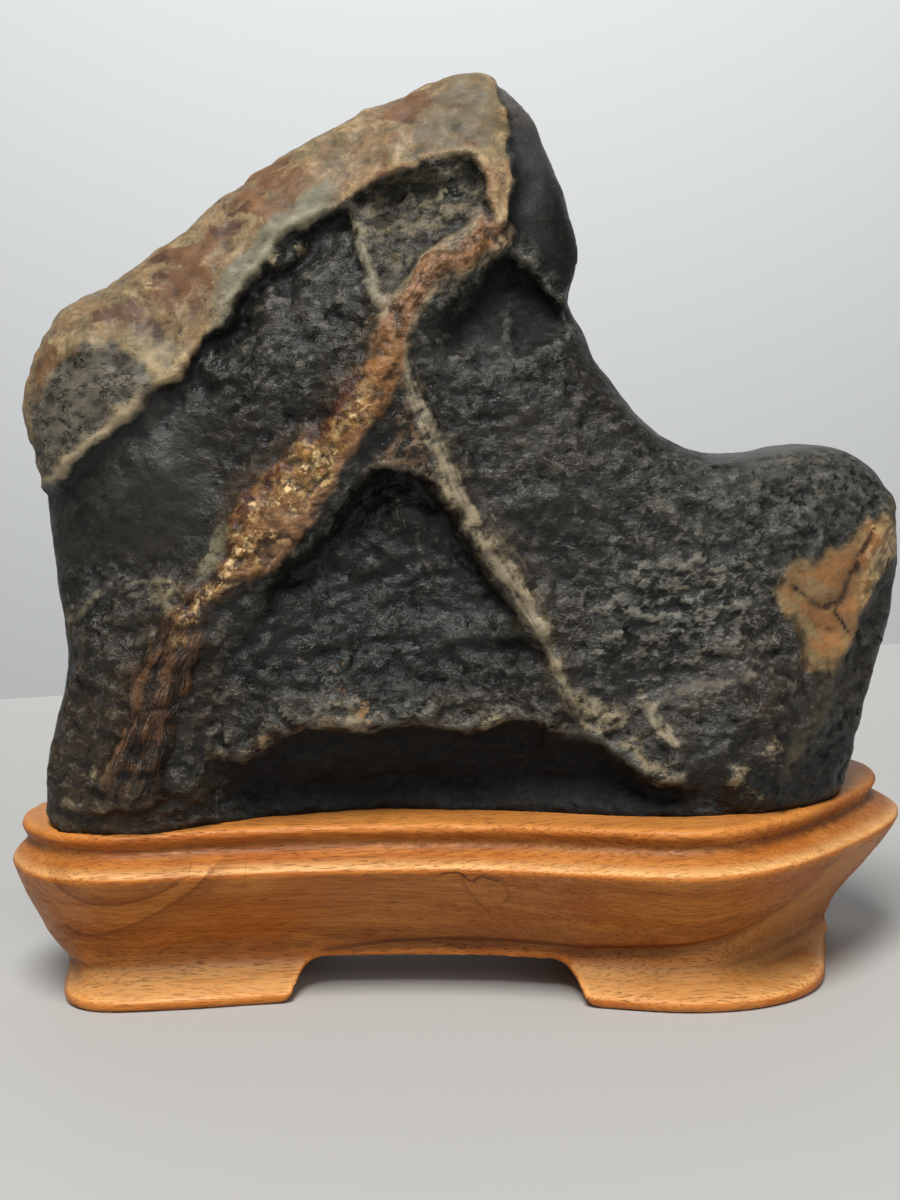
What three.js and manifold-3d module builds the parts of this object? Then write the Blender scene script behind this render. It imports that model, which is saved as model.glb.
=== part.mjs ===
// A scholar's rock resting in its carved wooden stand.
// Millimetres, +Z up. +X runs along the length and the front face looks towards -Y.

import * as THREE from "three";
import { mergeVertices } from "three/addons/utils/BufferGeometryUtils.js";
import Module from "manifold-3d";

const wasm = await Module();
wasm.setup();

// ---- Driving dimensions -------------------------------------------------------------------

const stone = {
  facetRows: 15, // subdivisions along each edge of the starting icosahedron
  heart: [-8, 90], // x and z that the outline is drawn around
  middleY: 2, // the plane in which the outline lies
  frontDepth: 31, // from that plane to the front face
  backDepth: 34,
  fitGap: 0.35, // clearance all round in the socket
};

const stand = {
  segments: 84,
  turnedRadius: 100, // radius of the turned blank before it takes the plan's shape
  heartY: 3,
  archHeight: 8, // from the table to the underside between the feet
  frontArch: { from: -46, to: 29.5, flare: 6.5 },
  endArch: { from: 2, to: 22, flare: 4 },
};

// The stone from the front, as x and z, anticlockwise from the outer end of its right lobe.
const stoneOutline = [
  [108, 100], [107.5, 110], [104.5, 118], [98.5, 124], [90, 127], [81, 127], [68, 125.5], [59, 126],
  [51, 129.5], [43.5, 137], [37, 145.5], [32.5, 153.5], [31, 163], [31.5, 173], [30, 181],
  [27, 191], [23, 202], [19, 210], [14, 215], [7, 216.5], [-4, 213.5], [-19, 208], [-34, 200.5],
  [-50, 191], [-61.5, 181.5], [-68.5, 178], [-77, 171.5], [-89.5, 166], [-96, 159], [-100, 150],
  [-102, 142], [-98.5, 134], [-97.5, 126], [-98.5, 117], [-96.5, 110], [-97, 101], [-94, 92],
  [-95, 76], [-98.5, 62], [-100.5, 52], [-99.5, 42], [-93, 37], [-76, 36.5], [-40, 36.5], [0, 36.5],
  [40, 36.5], [74, 36.5], [87, 39], [93.5, 47], [96.5, 57], [101, 70], [106, 85],
];

// A nick in that outline, between the beak and the long slope below it.
const beakNick = { at: [31, 164], size: [8, 5.5], depth: 3.8 };

// How squarely the rim of the stone turns from front to side: 2 is an ellipse, 8 is nearly a box.
// Each row holds from its own fraction of the way round the outline, and blends into the next.
const stoneSquareness = [
  { from: 0.0, front: 2.6, back: 2.6 }, // outer end of the lobe
  { from: 0.12, front: 4.5, back: 3 }, // saddle between lobe and beak
  { from: 0.27, front: 3, back: 2.6 }, // beak
  { from: 0.35, front: 2.7, back: 2.4 }, // weathered slope up to the peak
  { from: 0.5, front: 3, back: 3 }, // shoulder
  { from: 0.56, front: 4.5, back: 3.4 }, // left side
  { from: 0.69, front: 8, back: 6 }, // seat
  { from: 0.93, front: 3.6, back: 3 }, // right side below the lobe
];

// Broad swells and hollows: centre x and z, half-widths, and how far they stand out of the face.
const frontSwells = [
  { at: [60, 50], size: [27, 30], rise: 11 }, // heavy foot at the right
  { at: [-22, 36], size: [34, 17], rise: -19 }, // undercut along the middle of the seat
  { at: [24, 170], size: [16, 11], rise: -8 }, // hollow under the beak
  { at: [0, 212], size: [60, 34], rise: -6 }, // thinner towards the peak
  { at: [-18, 100], size: [26, 24], rise: -3 }, // sunk triangle between the two veins
  { at: [-62, 126], size: [22, 17], rise: -3 }, // hollow under the weathered slope
  { at: [-78, 76], size: [22, 24], rise: 3 }, // lower left boss
  { at: [-60, 40], size: [16, 9], rise: -3.5 }, // keeps behind the rim of the stand
  { at: [-100, 112], size: [10, 8], rise: -3 },
  { at: [96, 66], size: [14, 26], rise: -7 }, // side facet below the lobe
];
const backSwells = [
  { at: [-45, 75], size: [40, 34], rise: 4 },
  { at: [12, 120], size: [30, 22], rise: -6 },
  { at: [-40, 150], size: [26, 18], rise: -4 },
  { at: [70, 80], size: [34, 26], rise: 3 },
  { at: [0, 212], size: [60, 36], rise: -8 },
  { at: [20, 50], size: [26, 14], rise: -5 },
];

// Raised veins on the front: points as x and z, half-width and height.
const frontVeins = [
  {
    path: [
      [8, 178], [-11, 161], [-14, 150], [-24, 135], [-37, 122], [-49, 110], [-64, 88], [-75, 70], [-78, 56],
    ],
    halfWidth: 7,
    rise: 2.2,
  },
  {
    path: [[-21, 183], [-14, 162], [-10, 146], [1, 121], [10, 107], [21, 81], [26, 69]],
    halfWidth: 4,
    rise: 1.5,
  },
];

// The stand's outermost edge from above, as x and y, anticlockwise from the right end.
const ledgePlan = [
  [111.5, 16], [111.5, 28], [105, 41], [90, 47.5], [62, 48.5], [28, 45], [-8, 42.5], [-45, 42.5], [-78, 40],
  [-99, 32], [-109.5, 18], [-112.5, 3], [-109.5, -13], [-100, -27.5], [-84, -33.5], [-62, -31.8], [-39, -31],
  [-15, -32.2], [8, -36.5], [30, -43.8], [49, -49], [64, -46.6], [77, -38], [92, -21.6], [102, -7.8],
  [108.5, 4],
];

// The edge of the toes from above, squarer at its corners, in the same order.
const toePlan = [
  [92.5, 14], [93, 25], [88, 35], [76, 40], [55, 41], [28, 38], [-8, 35.5], [-42, 35.5], [-72, 33.5],
  [-91, 27.5], [-99, 15], [-101, 2], [-99.5, -11], [-97, -20], [-90, -26.5], [-68, -27], [-47, -25],
  [-15, -25.5], [8, -29], [30, -36.5], [49, -42], [65, -41], [76.5, -34.5], [83, -25.5], [86.5, -12],
  [89.5, 1],
];

// The stand's section from the table up: how far each level lies inside the plan it follows,
// on the long sides and at the right and left ends.
const standSection = [
  { z: 0, plan: "toe", side: 0.7, right: 0.8, left: 0.8 }, // sole
  { z: 1, plan: "toe", side: 0, right: 0, left: 0 },
  { z: 2.4, plan: "toe", side: 0, right: 0, left: 0 }, // edge of the toe
  { z: 3.6, plan: "toe", side: 1.6, right: 0.6, left: 0.6 },
  { z: 5.6, plan: "ledge", side: 13, right: 18.6, left: 12 }, // top of the toe
  { z: 7.8, plan: "ledge", side: 15.6, right: 18.8, left: 12 },
  { z: 10.5, plan: "ledge", side: 16.4, right: 17.4, left: 9.2 }, // waist
  { z: 13.5, plan: "ledge", side: 16, right: 14.8, left: 6.8 },
  { z: 18, plan: "ledge", side: 13, right: 10.8, left: 5 },
  { z: 24, plan: "ledge", side: 8, right: 5.8, left: 2.2 }, // flared body
  { z: 30, plan: "ledge", side: 2.4, right: 1.6, left: 0.6 },
  { z: 32, plan: "ledge", side: 0.6, right: 0.6, left: 0.5 },
  { z: 33.2, plan: "ledge", side: 0, right: 0, left: 0 }, // outermost edge
  { z: 34.2, plan: "ledge", side: 0.8, right: 0.8, left: 0.5 },
  { z: 36.8, plan: "ledge", side: 5.6, right: 6, left: 3 }, // ledge
  { z: 38, plan: "ledge", side: 7, right: 7.4, left: 4 }, // groove
  { z: 39.6, plan: "ledge", side: 6.6, right: 7, left: 3.6 },
  { z: 41.4, plan: "ledge", side: 5.2, right: 5.6, left: 2.4 }, // lip of the rim
  { z: 42.8, plan: "ledge", side: 6, right: 6.4, left: 3.2 },
  { z: 44, plan: "ledge", side: 12, right: 12, left: 8 }, // top of the rim
];

// ---- Helpers ------------------------------------------------------------------------------

function closedCurve(points) {
  const corners = points.map(([a, b]) => new THREE.Vector3(a, b, 0));
  const curve = new THREE.CatmullRomCurve3(corners, true, "centripetal");
  curve.arcLengthDivisions = 1600;
  return curve;
}

function bump(offset, halfWidth) {
  return Math.exp(-((offset / halfWidth) ** 2));
}

function swellHeight(swells, x, z) {
  return swells.reduce(
    (sum, { at, size, rise }) => sum + rise * bump(x - at[0], size[0]) * bump(z - at[1], size[1]),
    0,
  );
}

function distanceToPath(path, x, z) {
  const point = new THREE.Vector3(x, z, 0);
  const nearest = new THREE.Vector3();
  const line = new THREE.Line3();
  let best = Infinity;
  for (let i = 1; i < path.length; i += 1) {
    line.start.set(...path[i - 1], 0);
    line.end.set(...path[i], 0);
    line.closestPointToPoint(point, true, nearest);
    best = Math.min(best, nearest.distanceTo(point));
  }
  return best;
}

function veinHeight(veins, x, z) {
  const heights = veins.map(
    ({ path, halfWidth, rise }) => rise * bump(distanceToPath(path, x, z), halfWidth),
  );
  return Math.max(...heights);
}

// Long, low unevenness of a water-worn surface.
function wornHeight(x, y, z) {
  const long = 0.9 * Math.sin(x / 9 + z / 14);
  const middle = 0.7 * Math.sin(z / 7.5 - x / 19 + y / 12);
  const short = 0.5 * Math.sin(x / 5.5 - y / 8);
  return long + middle + short;
}

// Blends the squareness of neighbouring stretches of the outline.
function squarenessAt(fraction, face) {
  const last = stoneSquareness.length - 1;
  const index = stoneSquareness.findLastIndex((stretch) => stretch.from <= fraction);
  const here = stoneSquareness[index];
  const next = index === last ? { ...stoneSquareness[0], from: 1 } : stoneSquareness[index + 1];
  const along = (fraction - here.from) / (next.from - here.from);
  return THREE.MathUtils.lerp(here[face], next[face], THREE.MathUtils.smoothstep(along, 0, 1));
}

function merged(geometry) {
  const bare = geometry.clone();
  bare.deleteAttribute("normal");
  bare.deleteAttribute("uv");
  return mergeVertices(bare, 1e-4);
}

function toSolid(geometry) {
  const { position } = geometry.attributes;
  const mesh = new wasm.Mesh({
    numProp: 3,
    vertProperties: new Float32Array(position.array),
    triVerts: new Uint32Array(geometry.index.array),
  });
  return new wasm.Manifold(mesh);
}

function toGeometry(solid) {
  const mesh = solid.getMesh();
  const geometry = new THREE.BufferGeometry();
  geometry.setAttribute("position", new THREE.BufferAttribute(mesh.vertProperties, 3));
  geometry.setIndex(new THREE.BufferAttribute(mesh.triVerts, 1));
  geometry.computeVertexNormals();
  return geometry;
}

// ---- The stone ----------------------------------------------------------------------------

// Carries a point of the unit sphere to the stone's surface. The sphere's equator becomes the
// outline, and its front and back caps become the two faces.
function stonePoint(direction, outline) {
  const fraction = (Math.atan2(direction.z, direction.x) / (2 * Math.PI) + 1) % 1;
  const edge = outline.getPointAt(fraction);
  const face = direction.y < 0 ? "front" : "back";
  const squareness = squarenessAt(fraction, face);

  const reach = 1 - Math.asin(Math.min(1, Math.abs(direction.y))) / (Math.PI / 2);
  const outward = reach ** 0.8;
  const upward = 2 * (1 - reach);
  const length = (outward ** squareness + upward ** squareness) ** (1 / squareness);
  const share = outward / length;
  const height = upward / length;

  const z = THREE.MathUtils.lerp(stone.heart[1], edge.y, share);
  const unnicked = THREE.MathUtils.lerp(stone.heart[0], edge.x, share);
  const nick = bump(unnicked - beakNick.at[0], beakNick.size[0]) * bump(z - beakNick.at[1], beakNick.size[1]);
  const x = unnicked - beakNick.depth * nick;
  const worn = wornHeight(x, direction.y * stone.frontDepth, z) * Math.min(1, 2.5 * height);
  if (face === "front") {
    const depth = stone.frontDepth + swellHeight(frontSwells, x, z) + veinHeight(frontVeins, x, z) + worn;
    return new THREE.Vector3(x, stone.middleY - height * depth, z);
  }
  const depth = stone.backDepth + swellHeight(backSwells, x, z) + worn;
  return new THREE.Vector3(x, stone.middleY + height * depth, z);
}

function makeStone() {
  const outline = closedCurve(stoneOutline);
  const geometry = merged(new THREE.IcosahedronGeometry(1, stone.facetRows));
  const { position } = geometry.attributes;
  const direction = new THREE.Vector3();
  for (let i = 0; i < position.count; i += 1) {
    direction.fromBufferAttribute(position, i).normalize();
    position.setXYZ(i, ...stonePoint(direction, outline));
  }
  geometry.computeVertexNormals();
  return geometry;
}

// The same stone with every point moved out by the fit gap, for cutting the socket.
function makeSocketCutter(stoneGeometry) {
  const cutter = stoneGeometry.clone();
  const { position, normal } = cutter.attributes;
  const point = new THREE.Vector3();
  const outward = new THREE.Vector3();
  for (let i = 0; i < position.count; i += 1) {
    outward.fromBufferAttribute(normal, i);
    point.fromBufferAttribute(position, i).addScaledVector(outward, stone.fitGap);
    position.setXYZ(i, ...point);
  }
  return cutter;
}

// ---- The stand ----------------------------------------------------------------------------

// A turned blank whose every level is then drawn out to its plan.
function makeStandBlank() {
  const levels = standSection.map(({ z, side }) => new THREE.Vector2(stand.turnedRadius - side, z));
  const bottom = new THREE.Vector2(0, standSection[0].z);
  const top = new THREE.Vector2(0, standSection.at(-1).z);
  const geometry = merged(new THREE.LatheGeometry([bottom, ...levels, top], stand.segments));
  geometry.rotateX(Math.PI / 2);

  const plans = { toe: closedCurve(toePlan), ledge: closedCurve(ledgePlan) };
  const { position } = geometry.attributes;
  for (let i = 0; i < position.count; i += 1) {
    const [x, y, z] = [position.getX(i), position.getY(i), position.getZ(i)];
    if (Math.hypot(x, y) < 1) {
      position.setXYZ(i, 0, stand.heartY, z);
      continue;
    }
    const fraction = (Math.atan2(y, x) / (2 * Math.PI) + 1) % 1;
    const level = standSection.find((row) => Math.abs(row.z - z) < 1e-3);
    const edge = plans[level.plan].getPointAt(fraction);
    const along = plans[level.plan].getTangentAt(fraction);
    const inset = THREE.MathUtils.lerp(level.side, edge.x > 0 ? level.right : level.left, along.y ** 4);
    position.setXYZ(i, edge.x - along.y * inset, edge.y + along.x * inset, z);
  }
  return toSolid(geometry);
}

// A straight tunnel with ogee shoulders, from its opening's two ends at the table and its height.
function archPrism({ from, to, flare }, length) {
  const below = -5;
  const top = stand.archHeight;
  const shape = new THREE.Shape();
  shape.moveTo(from - 1, below);
  shape.lineTo(from, 0);
  shape.bezierCurveTo(from + 0.8 * flare, 0.5, from + 0.5 * flare, top - 1, from + 1.4 * flare, top);
  shape.lineTo(to - 1.4 * flare, top);
  shape.bezierCurveTo(to - 0.5 * flare, top - 1, to - 0.8 * flare, 0.5, to, 0);
  shape.lineTo(to + 1, below);
  const geometry = new THREE.ExtrudeGeometry(shape, { depth: length, bevelEnabled: false, curveSegments: 6 });
  geometry.translate(0, 0, -length / 2);
  geometry.rotateX(Math.PI / 2);
  return geometry;
}

function makeStand(socketCutter) {
  const frontArch = archPrism(stand.frontArch, 140);
  const endArch = archPrism(stand.endArch, 280);
  endArch.rotateZ(Math.PI / 2);
  return makeStandBlank()
    .subtract(toSolid(merged(frontArch)))
    .subtract(toSolid(merged(endArch)))
    .subtract(toSolid(socketCutter));
}

// ---- The object ---------------------------------------------------------------------------

const stoneMaterial = new THREE.MeshStandardMaterial({ color: 0x2f3132, roughness: 0.55, metalness: 0 });
const woodMaterial = new THREE.MeshStandardMaterial({ color: 0xc07a45, roughness: 0.45, metalness: 0 });

const stoneGeometry = makeStone();
const scholarsRock = new THREE.Mesh(stoneGeometry, stoneMaterial);
scholarsRock.name = "scholars_rock";

const standSolid = makeStand(makeSocketCutter(stoneGeometry));
const carvedStand = new THREE.Mesh(toGeometry(standSolid), woodMaterial);
carvedStand.name = "carved_stand";

const group = new THREE.Group();
group.add(carvedStand, scholarsRock);

// The origin is the middle of the footprint, on the table.
const box = new THREE.Box3().setFromObject(group);
const centre = box.getCenter(new THREE.Vector3());
group.position.set(-centre.x, -centre.y, -box.min.z);

export default group;
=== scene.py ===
from math import radians

import bmesh
import bpy
import numpy as np
from mathutils import Matrix, Vector, noise


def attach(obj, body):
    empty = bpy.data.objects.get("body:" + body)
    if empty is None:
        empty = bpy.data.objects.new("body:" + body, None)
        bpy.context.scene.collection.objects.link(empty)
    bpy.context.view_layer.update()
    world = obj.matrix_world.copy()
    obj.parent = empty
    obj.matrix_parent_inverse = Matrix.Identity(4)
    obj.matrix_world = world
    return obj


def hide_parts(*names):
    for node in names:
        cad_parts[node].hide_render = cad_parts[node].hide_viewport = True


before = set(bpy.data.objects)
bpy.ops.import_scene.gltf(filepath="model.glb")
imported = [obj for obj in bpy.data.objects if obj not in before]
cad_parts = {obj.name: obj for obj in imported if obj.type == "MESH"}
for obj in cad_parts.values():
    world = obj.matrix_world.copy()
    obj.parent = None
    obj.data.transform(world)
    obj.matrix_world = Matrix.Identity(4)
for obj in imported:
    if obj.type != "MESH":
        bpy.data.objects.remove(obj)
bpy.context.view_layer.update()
mm = 0.001
print("frame loaded:", ", ".join(sorted(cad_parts)))


# camera, floor and lights

studio = {
    "cameraAt": (-0.0017, -0.440, 0.138),
    "cameraDown": 5.92,  # degrees below level
    "cameraRoll": -2.0,
    "lens": 54.09,
    "filmWidth": 36,
    "floorColour": (0.42, 0.42, 0.41),
    "floorHalf": 3.0,
    "floorFront": -2.0,
    "floorBack": 0.52,  # its far edge, which slants
    "floorSlant": 0.19,
    "wallColour": (0.68, 0.70, 0.71),
    "wallHalf": 12.0,
    "wallAt": 1.6,
    "wallBottom": -3.0,
    "wallTop": 9.0,
    "matt": 0.7,  # roughness of floor and wall
    "worldColour": (0.98, 0.99, 1.0),
    "worldStrength": 0.18,
    "lights": {
        "topLight": {"at": (-0.12, -0.62, 1.15), "aim": (0, 0, 0.1), "size": 0.6, "power": 21.5,
                     "colour": (1.0, 0.98, 0.95)},
        "frontLight": {"at": (0.6, -1.3, 0.6), "aim": (0, 0, 0.1), "size": 1.1, "power": 4.5,
                       "colour": (1.0, 1.0, 1.0)},
        "wallLight": {"at": (0.0, 0.8, 1.5), "aim": (0, 1.6, 1.1), "size": 2.4, "power": 22.5,
                      "colour": (1.0, 1.0, 1.0)},
    },
}


def flatSheet(name, corners, colour):
    bm = bmesh.new()
    bm.faces.new([bm.verts.new(corner) for corner in corners])
    mesh = bpy.data.meshes.new(name)
    bm.to_mesh(mesh)
    bm.free()
    sheet = bpy.data.objects.new(name, mesh)
    bpy.context.scene.collection.objects.link(sheet)
    material = bpy.data.materials.new(name)
    material.use_nodes = True
    shader = material.node_tree.nodes["Principled BSDF"]
    shader.inputs["Base Color"].default_value = (*colour, 1)
    shader.inputs["Roughness"].default_value = studio["matt"]
    mesh.materials.append(material)


def addLight(name, look):
    light = bpy.data.lights.new(name, "AREA")
    light.shape = "DISK"
    light.size = look["size"]
    light.energy = look["power"]
    light.color = look["colour"]
    lamp = bpy.data.objects.new(name, light)
    lamp.location = look["at"]
    lamp.rotation_euler = (Vector(look["aim"]) - Vector(look["at"])).to_track_quat("-Z", "Y").to_euler()
    bpy.context.scene.collection.objects.link(lamp)


def setStudio():
    scene = bpy.context.scene
    scene.view_settings.view_transform = "Standard"
    half, near, far = studio["floorHalf"], studio["floorFront"], studio["floorBack"]
    slant = half * studio["floorSlant"]
    corners = [(-half, near, 0), (half, near, 0), (half, far + slant, 0), (-half, far - slant, 0)]
    flatSheet("floor", corners, studio["floorColour"])
    half, away, low, high = studio["wallHalf"], studio["wallAt"], studio["wallBottom"], studio["wallTop"]
    corners = [(-half, away, low), (half, away, low), (half, away, high), (-half, away, high)]
    flatSheet("wall", corners, studio["wallColour"])

    world = bpy.data.worlds.new("world")
    world.use_nodes = True
    sky = world.node_tree.nodes["Background"]
    sky.inputs["Color"].default_value = (*studio["worldColour"], 1)
    sky.inputs["Strength"].default_value = studio["worldStrength"]
    scene.world = world
    for name, look in studio["lights"].items():
        addLight(name, look)

    camera = bpy.data.cameras.new("camera")
    camera.lens = studio["lens"]
    camera.sensor_width = studio["filmWidth"]
    cameraObject = bpy.data.objects.new("camera", camera)
    tilt = Matrix.Rotation(radians(90 - studio["cameraDown"]), 4, "X")
    roll = Matrix.Rotation(radians(studio["cameraRoll"]), 4, "Z")
    cameraObject.matrix_world = Matrix.Translation(studio["cameraAt"]) @ tilt @ roll
    scene.collection.objects.link(cameraObject)
    scene.camera = cameraObject


setStudio()
print("studio ready")


# fine copies of the two nodes, and fields over their points

def bakeModifiers(piece):
    depsgraph = bpy.context.evaluated_depsgraph_get()
    done = bpy.data.meshes.new_from_object(piece.evaluated_get(depsgraph))
    piece.modifiers.clear()
    piece.data = done
    done.name = piece.name


def fineCopy(nodeName, pieceName, detail):
    bm = bmesh.new()
    bm.from_mesh(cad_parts[nodeName].data)
    bmesh.ops.remove_doubles(bm, verts=bm.verts[:], dist=1e-6)
    crease = bm.edges.layers.float.new("crease_edge")
    for edge in bm.edges:
        if edge.is_manifold and edge.calc_face_angle() > radians(detail["sharpFrom"]):
            edge[crease] = detail["crease"]
    mesh = bpy.data.meshes.new(pieceName)
    bm.to_mesh(mesh)
    bm.free()
    piece = bpy.data.objects.new(pieceName, mesh)
    bpy.context.scene.collection.objects.link(piece)

    rounded = piece.modifiers.new("rounded", "SUBSURF")
    rounded.levels = rounded.render_levels = detail["rounding"]
    even = piece.modifiers.new("even", "REMESH")
    even.mode = "VOXEL"
    even.voxel_size = detail["voxel"] * mm
    relax = piece.modifiers.new("relax", "SMOOTH")
    relax.factor = 0.5
    relax.iterations = detail["relax"]
    bakeModifiers(piece)
    return piece


def pointsOf(mesh):  # in millimetres
    flat = np.empty(len(mesh.vertices) * 3, np.float32)
    mesh.vertices.foreach_get("co", flat)
    return flat.reshape(-1, 3).astype(float) / mm


def normalsOf(mesh):
    flat = np.empty(len(mesh.vertices) * 3, np.float32)
    mesh.vertex_normals.foreach_get("vector", flat)
    return flat.reshape(-1, 3).astype(float)


def setPoints(mesh, points):
    mesh.vertices.foreach_set("co", (points * mm).astype(np.float32).ravel())
    mesh.update()


def storeField(mesh, name, values):
    field = mesh.attributes.new(name, "FLOAT", "POINT")
    field.data.foreach_set("value", np.asarray(values, np.float32))


def between(low, high, value):  # 0 below low, 1 above high, eased in between
    share = np.clip((value - low) / (high - low), 0, 1)
    return share * share * (3 - 2 * share)


def hill(offset, halfWidth):
    return np.exp(-((offset / halfWidth) ** 2))


def placesOf(points, size, seed):  # each seed reads another part of the noise
    shift = np.array((7.3, 3.1, 5.7)) * seed
    return (points / np.asarray(size, float) + shift).tolist()


def noiseAt(points, size, seed, octaves=3):
    return np.array([noise.fractal(place, 0.9, 2.0, octaves) for place in placesOf(points, size, seed)])


def scalesAt(points, size, seed):  # flat-topped scales with sharp grooves between, about -1 to 0.5
    look = {"noise_basis": "PERLIN_ORIGINAL", "amplitude_scale": 0.55, "frequency_scale": 2.1}
    places = placesOf(points, size, seed)
    return 0.5 - np.array([noise.turbulence(place, 3, False, **look) for place in places])


def cellsAt(points, size, seed):  # distance to the nearest of scattered centres, 0 at a centre
    return np.array([noise.voronoi(place)[0][0] for place in placesOf(points, size, seed)])


def chipsAt(points, size, seed):  # flat facets that tilt at random, each about the given size, -1 to 1
    chips = []
    for place in placesOf(points, size, seed):
        centre = noise.voronoi(place)[1][0]
        tilt = noise.cell_vector(centre * 17.3)
        chips.append(2 * sum((t - 0.5) * (a - b) for t, a, b in zip(tilt, place, centre)))
    return np.array(chips)


def cloudsAt(x, z, clouds):  # soft round clouds from their x, z, half-width and strength
    return np.clip(sum(much * hill(np.hypot(x - cx, z - cz), size) for cx, cz, size, much in clouds), 0, 1)


def curveThrough(corners, closed=False, steps=4):  # a smooth line through a few given points
    corners = np.asarray(corners, float)
    if closed:
        before, after = corners[-1:], corners[:2]
    else:
        before, after = 2 * corners[:1] - corners[1:2], 2 * corners[-1:] - corners[-2:-1]
    held = np.vstack([before, corners, after])
    line = []
    for a, b, c, d in zip(held, held[1:], held[2:], held[3:]):
        for step in range(steps):
            t = step / steps
            line.append(0.5 * (2 * b + (c - a) * t + (2 * a - 5 * b + 4 * c - d) * t**2
                               + (3 * b - a - 3 * c + d) * t**3))
    line.append(held[-2])
    return np.array(line)


def nearestOn(line, x, z):  # distance to the line, share of the way along it, and the side (+ is left)
    best = np.full(len(x), 1e9)
    along = np.zeros(len(x))
    side = np.zeros(len(x))
    lengths = np.hypot(*np.diff(line, axis=0).T)
    starts = np.concatenate([[0], np.cumsum(lengths)])
    for (ax, az), (bx, bz), start, length in zip(line, line[1:], starts, lengths):
        if length < 1e-9:
            continue
        dx, dz = (bx - ax) / length, (bz - az) / length
        run = np.clip((x - ax) * dx + (z - az) * dz, 0, length)
        gap = np.hypot(x - ax - run * dx, z - az - run * dz)
        closer = gap < best
        best[closer] = gap[closer]
        along[closer] = (start + run[closer]) / starts[-1]
        side[closer] = np.sign(dx * (z - az) - dz * (x - ax))[closer]
    return best, along, side


def depthInside(loop, x, z):  # distance to a closed outline, + inside it
    line = curveThrough(loop, closed=True, steps=3)
    gap, _, _ = nearestOn(line, x, z)
    inside = np.zeros(len(x), bool)
    for (ax, az), (bx, bz) in zip(line, line[1:]):
        if az == bz:
            continue
        crosses = (az > z) != (bz > z)
        inside ^= crosses & (x < ax + (z - az) * (bx - ax) / (bz - az))
    return np.where(inside, gap, -gap)


def reliefOf(mesh, points, normals, spread):  # + on ridges, - in hollows, in millimetres
    edges = np.empty(len(mesh.edges) * 2, np.int32)
    mesh.edges.foreach_get("vertices", edges)
    a, b = edges.reshape(-1, 2).T
    count = np.bincount(a, minlength=len(points)) + np.bincount(b, minlength=len(points))
    blurred = points.copy()
    for _ in range(spread):
        total = np.zeros_like(blurred)
        for axis in range(3):
            total[:, axis] += np.bincount(a, blurred[b, axis], len(points))
            total[:, axis] += np.bincount(b, blurred[a, axis], len(points))
        blurred = total / count[:, None]
    return ((points - blurred) * normals).sum(1)


# the stone

stoneDetail = {
    "voxel": 1.0,  # size of the working mesh, in millimetres
    "rounding": 2,
    "relax": 8,
    "sharpFrom": 170,
    "crease": 0.0,
    "stillBelow": 44.5,  # no form is pushed in below this height, where the stone sits in the wood
    "freeAbove": 52,
    "seatFill": 0.7,  # how much fuller the foot is
    "crustHeight": 1.8,
    "bandHeight": 1.3,
    "undercutDepth": 7.5,
    "recessDepth": 8.0,
    "cavityDepth": 1.8,
    "panelDepth": 0.8,
}

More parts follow.
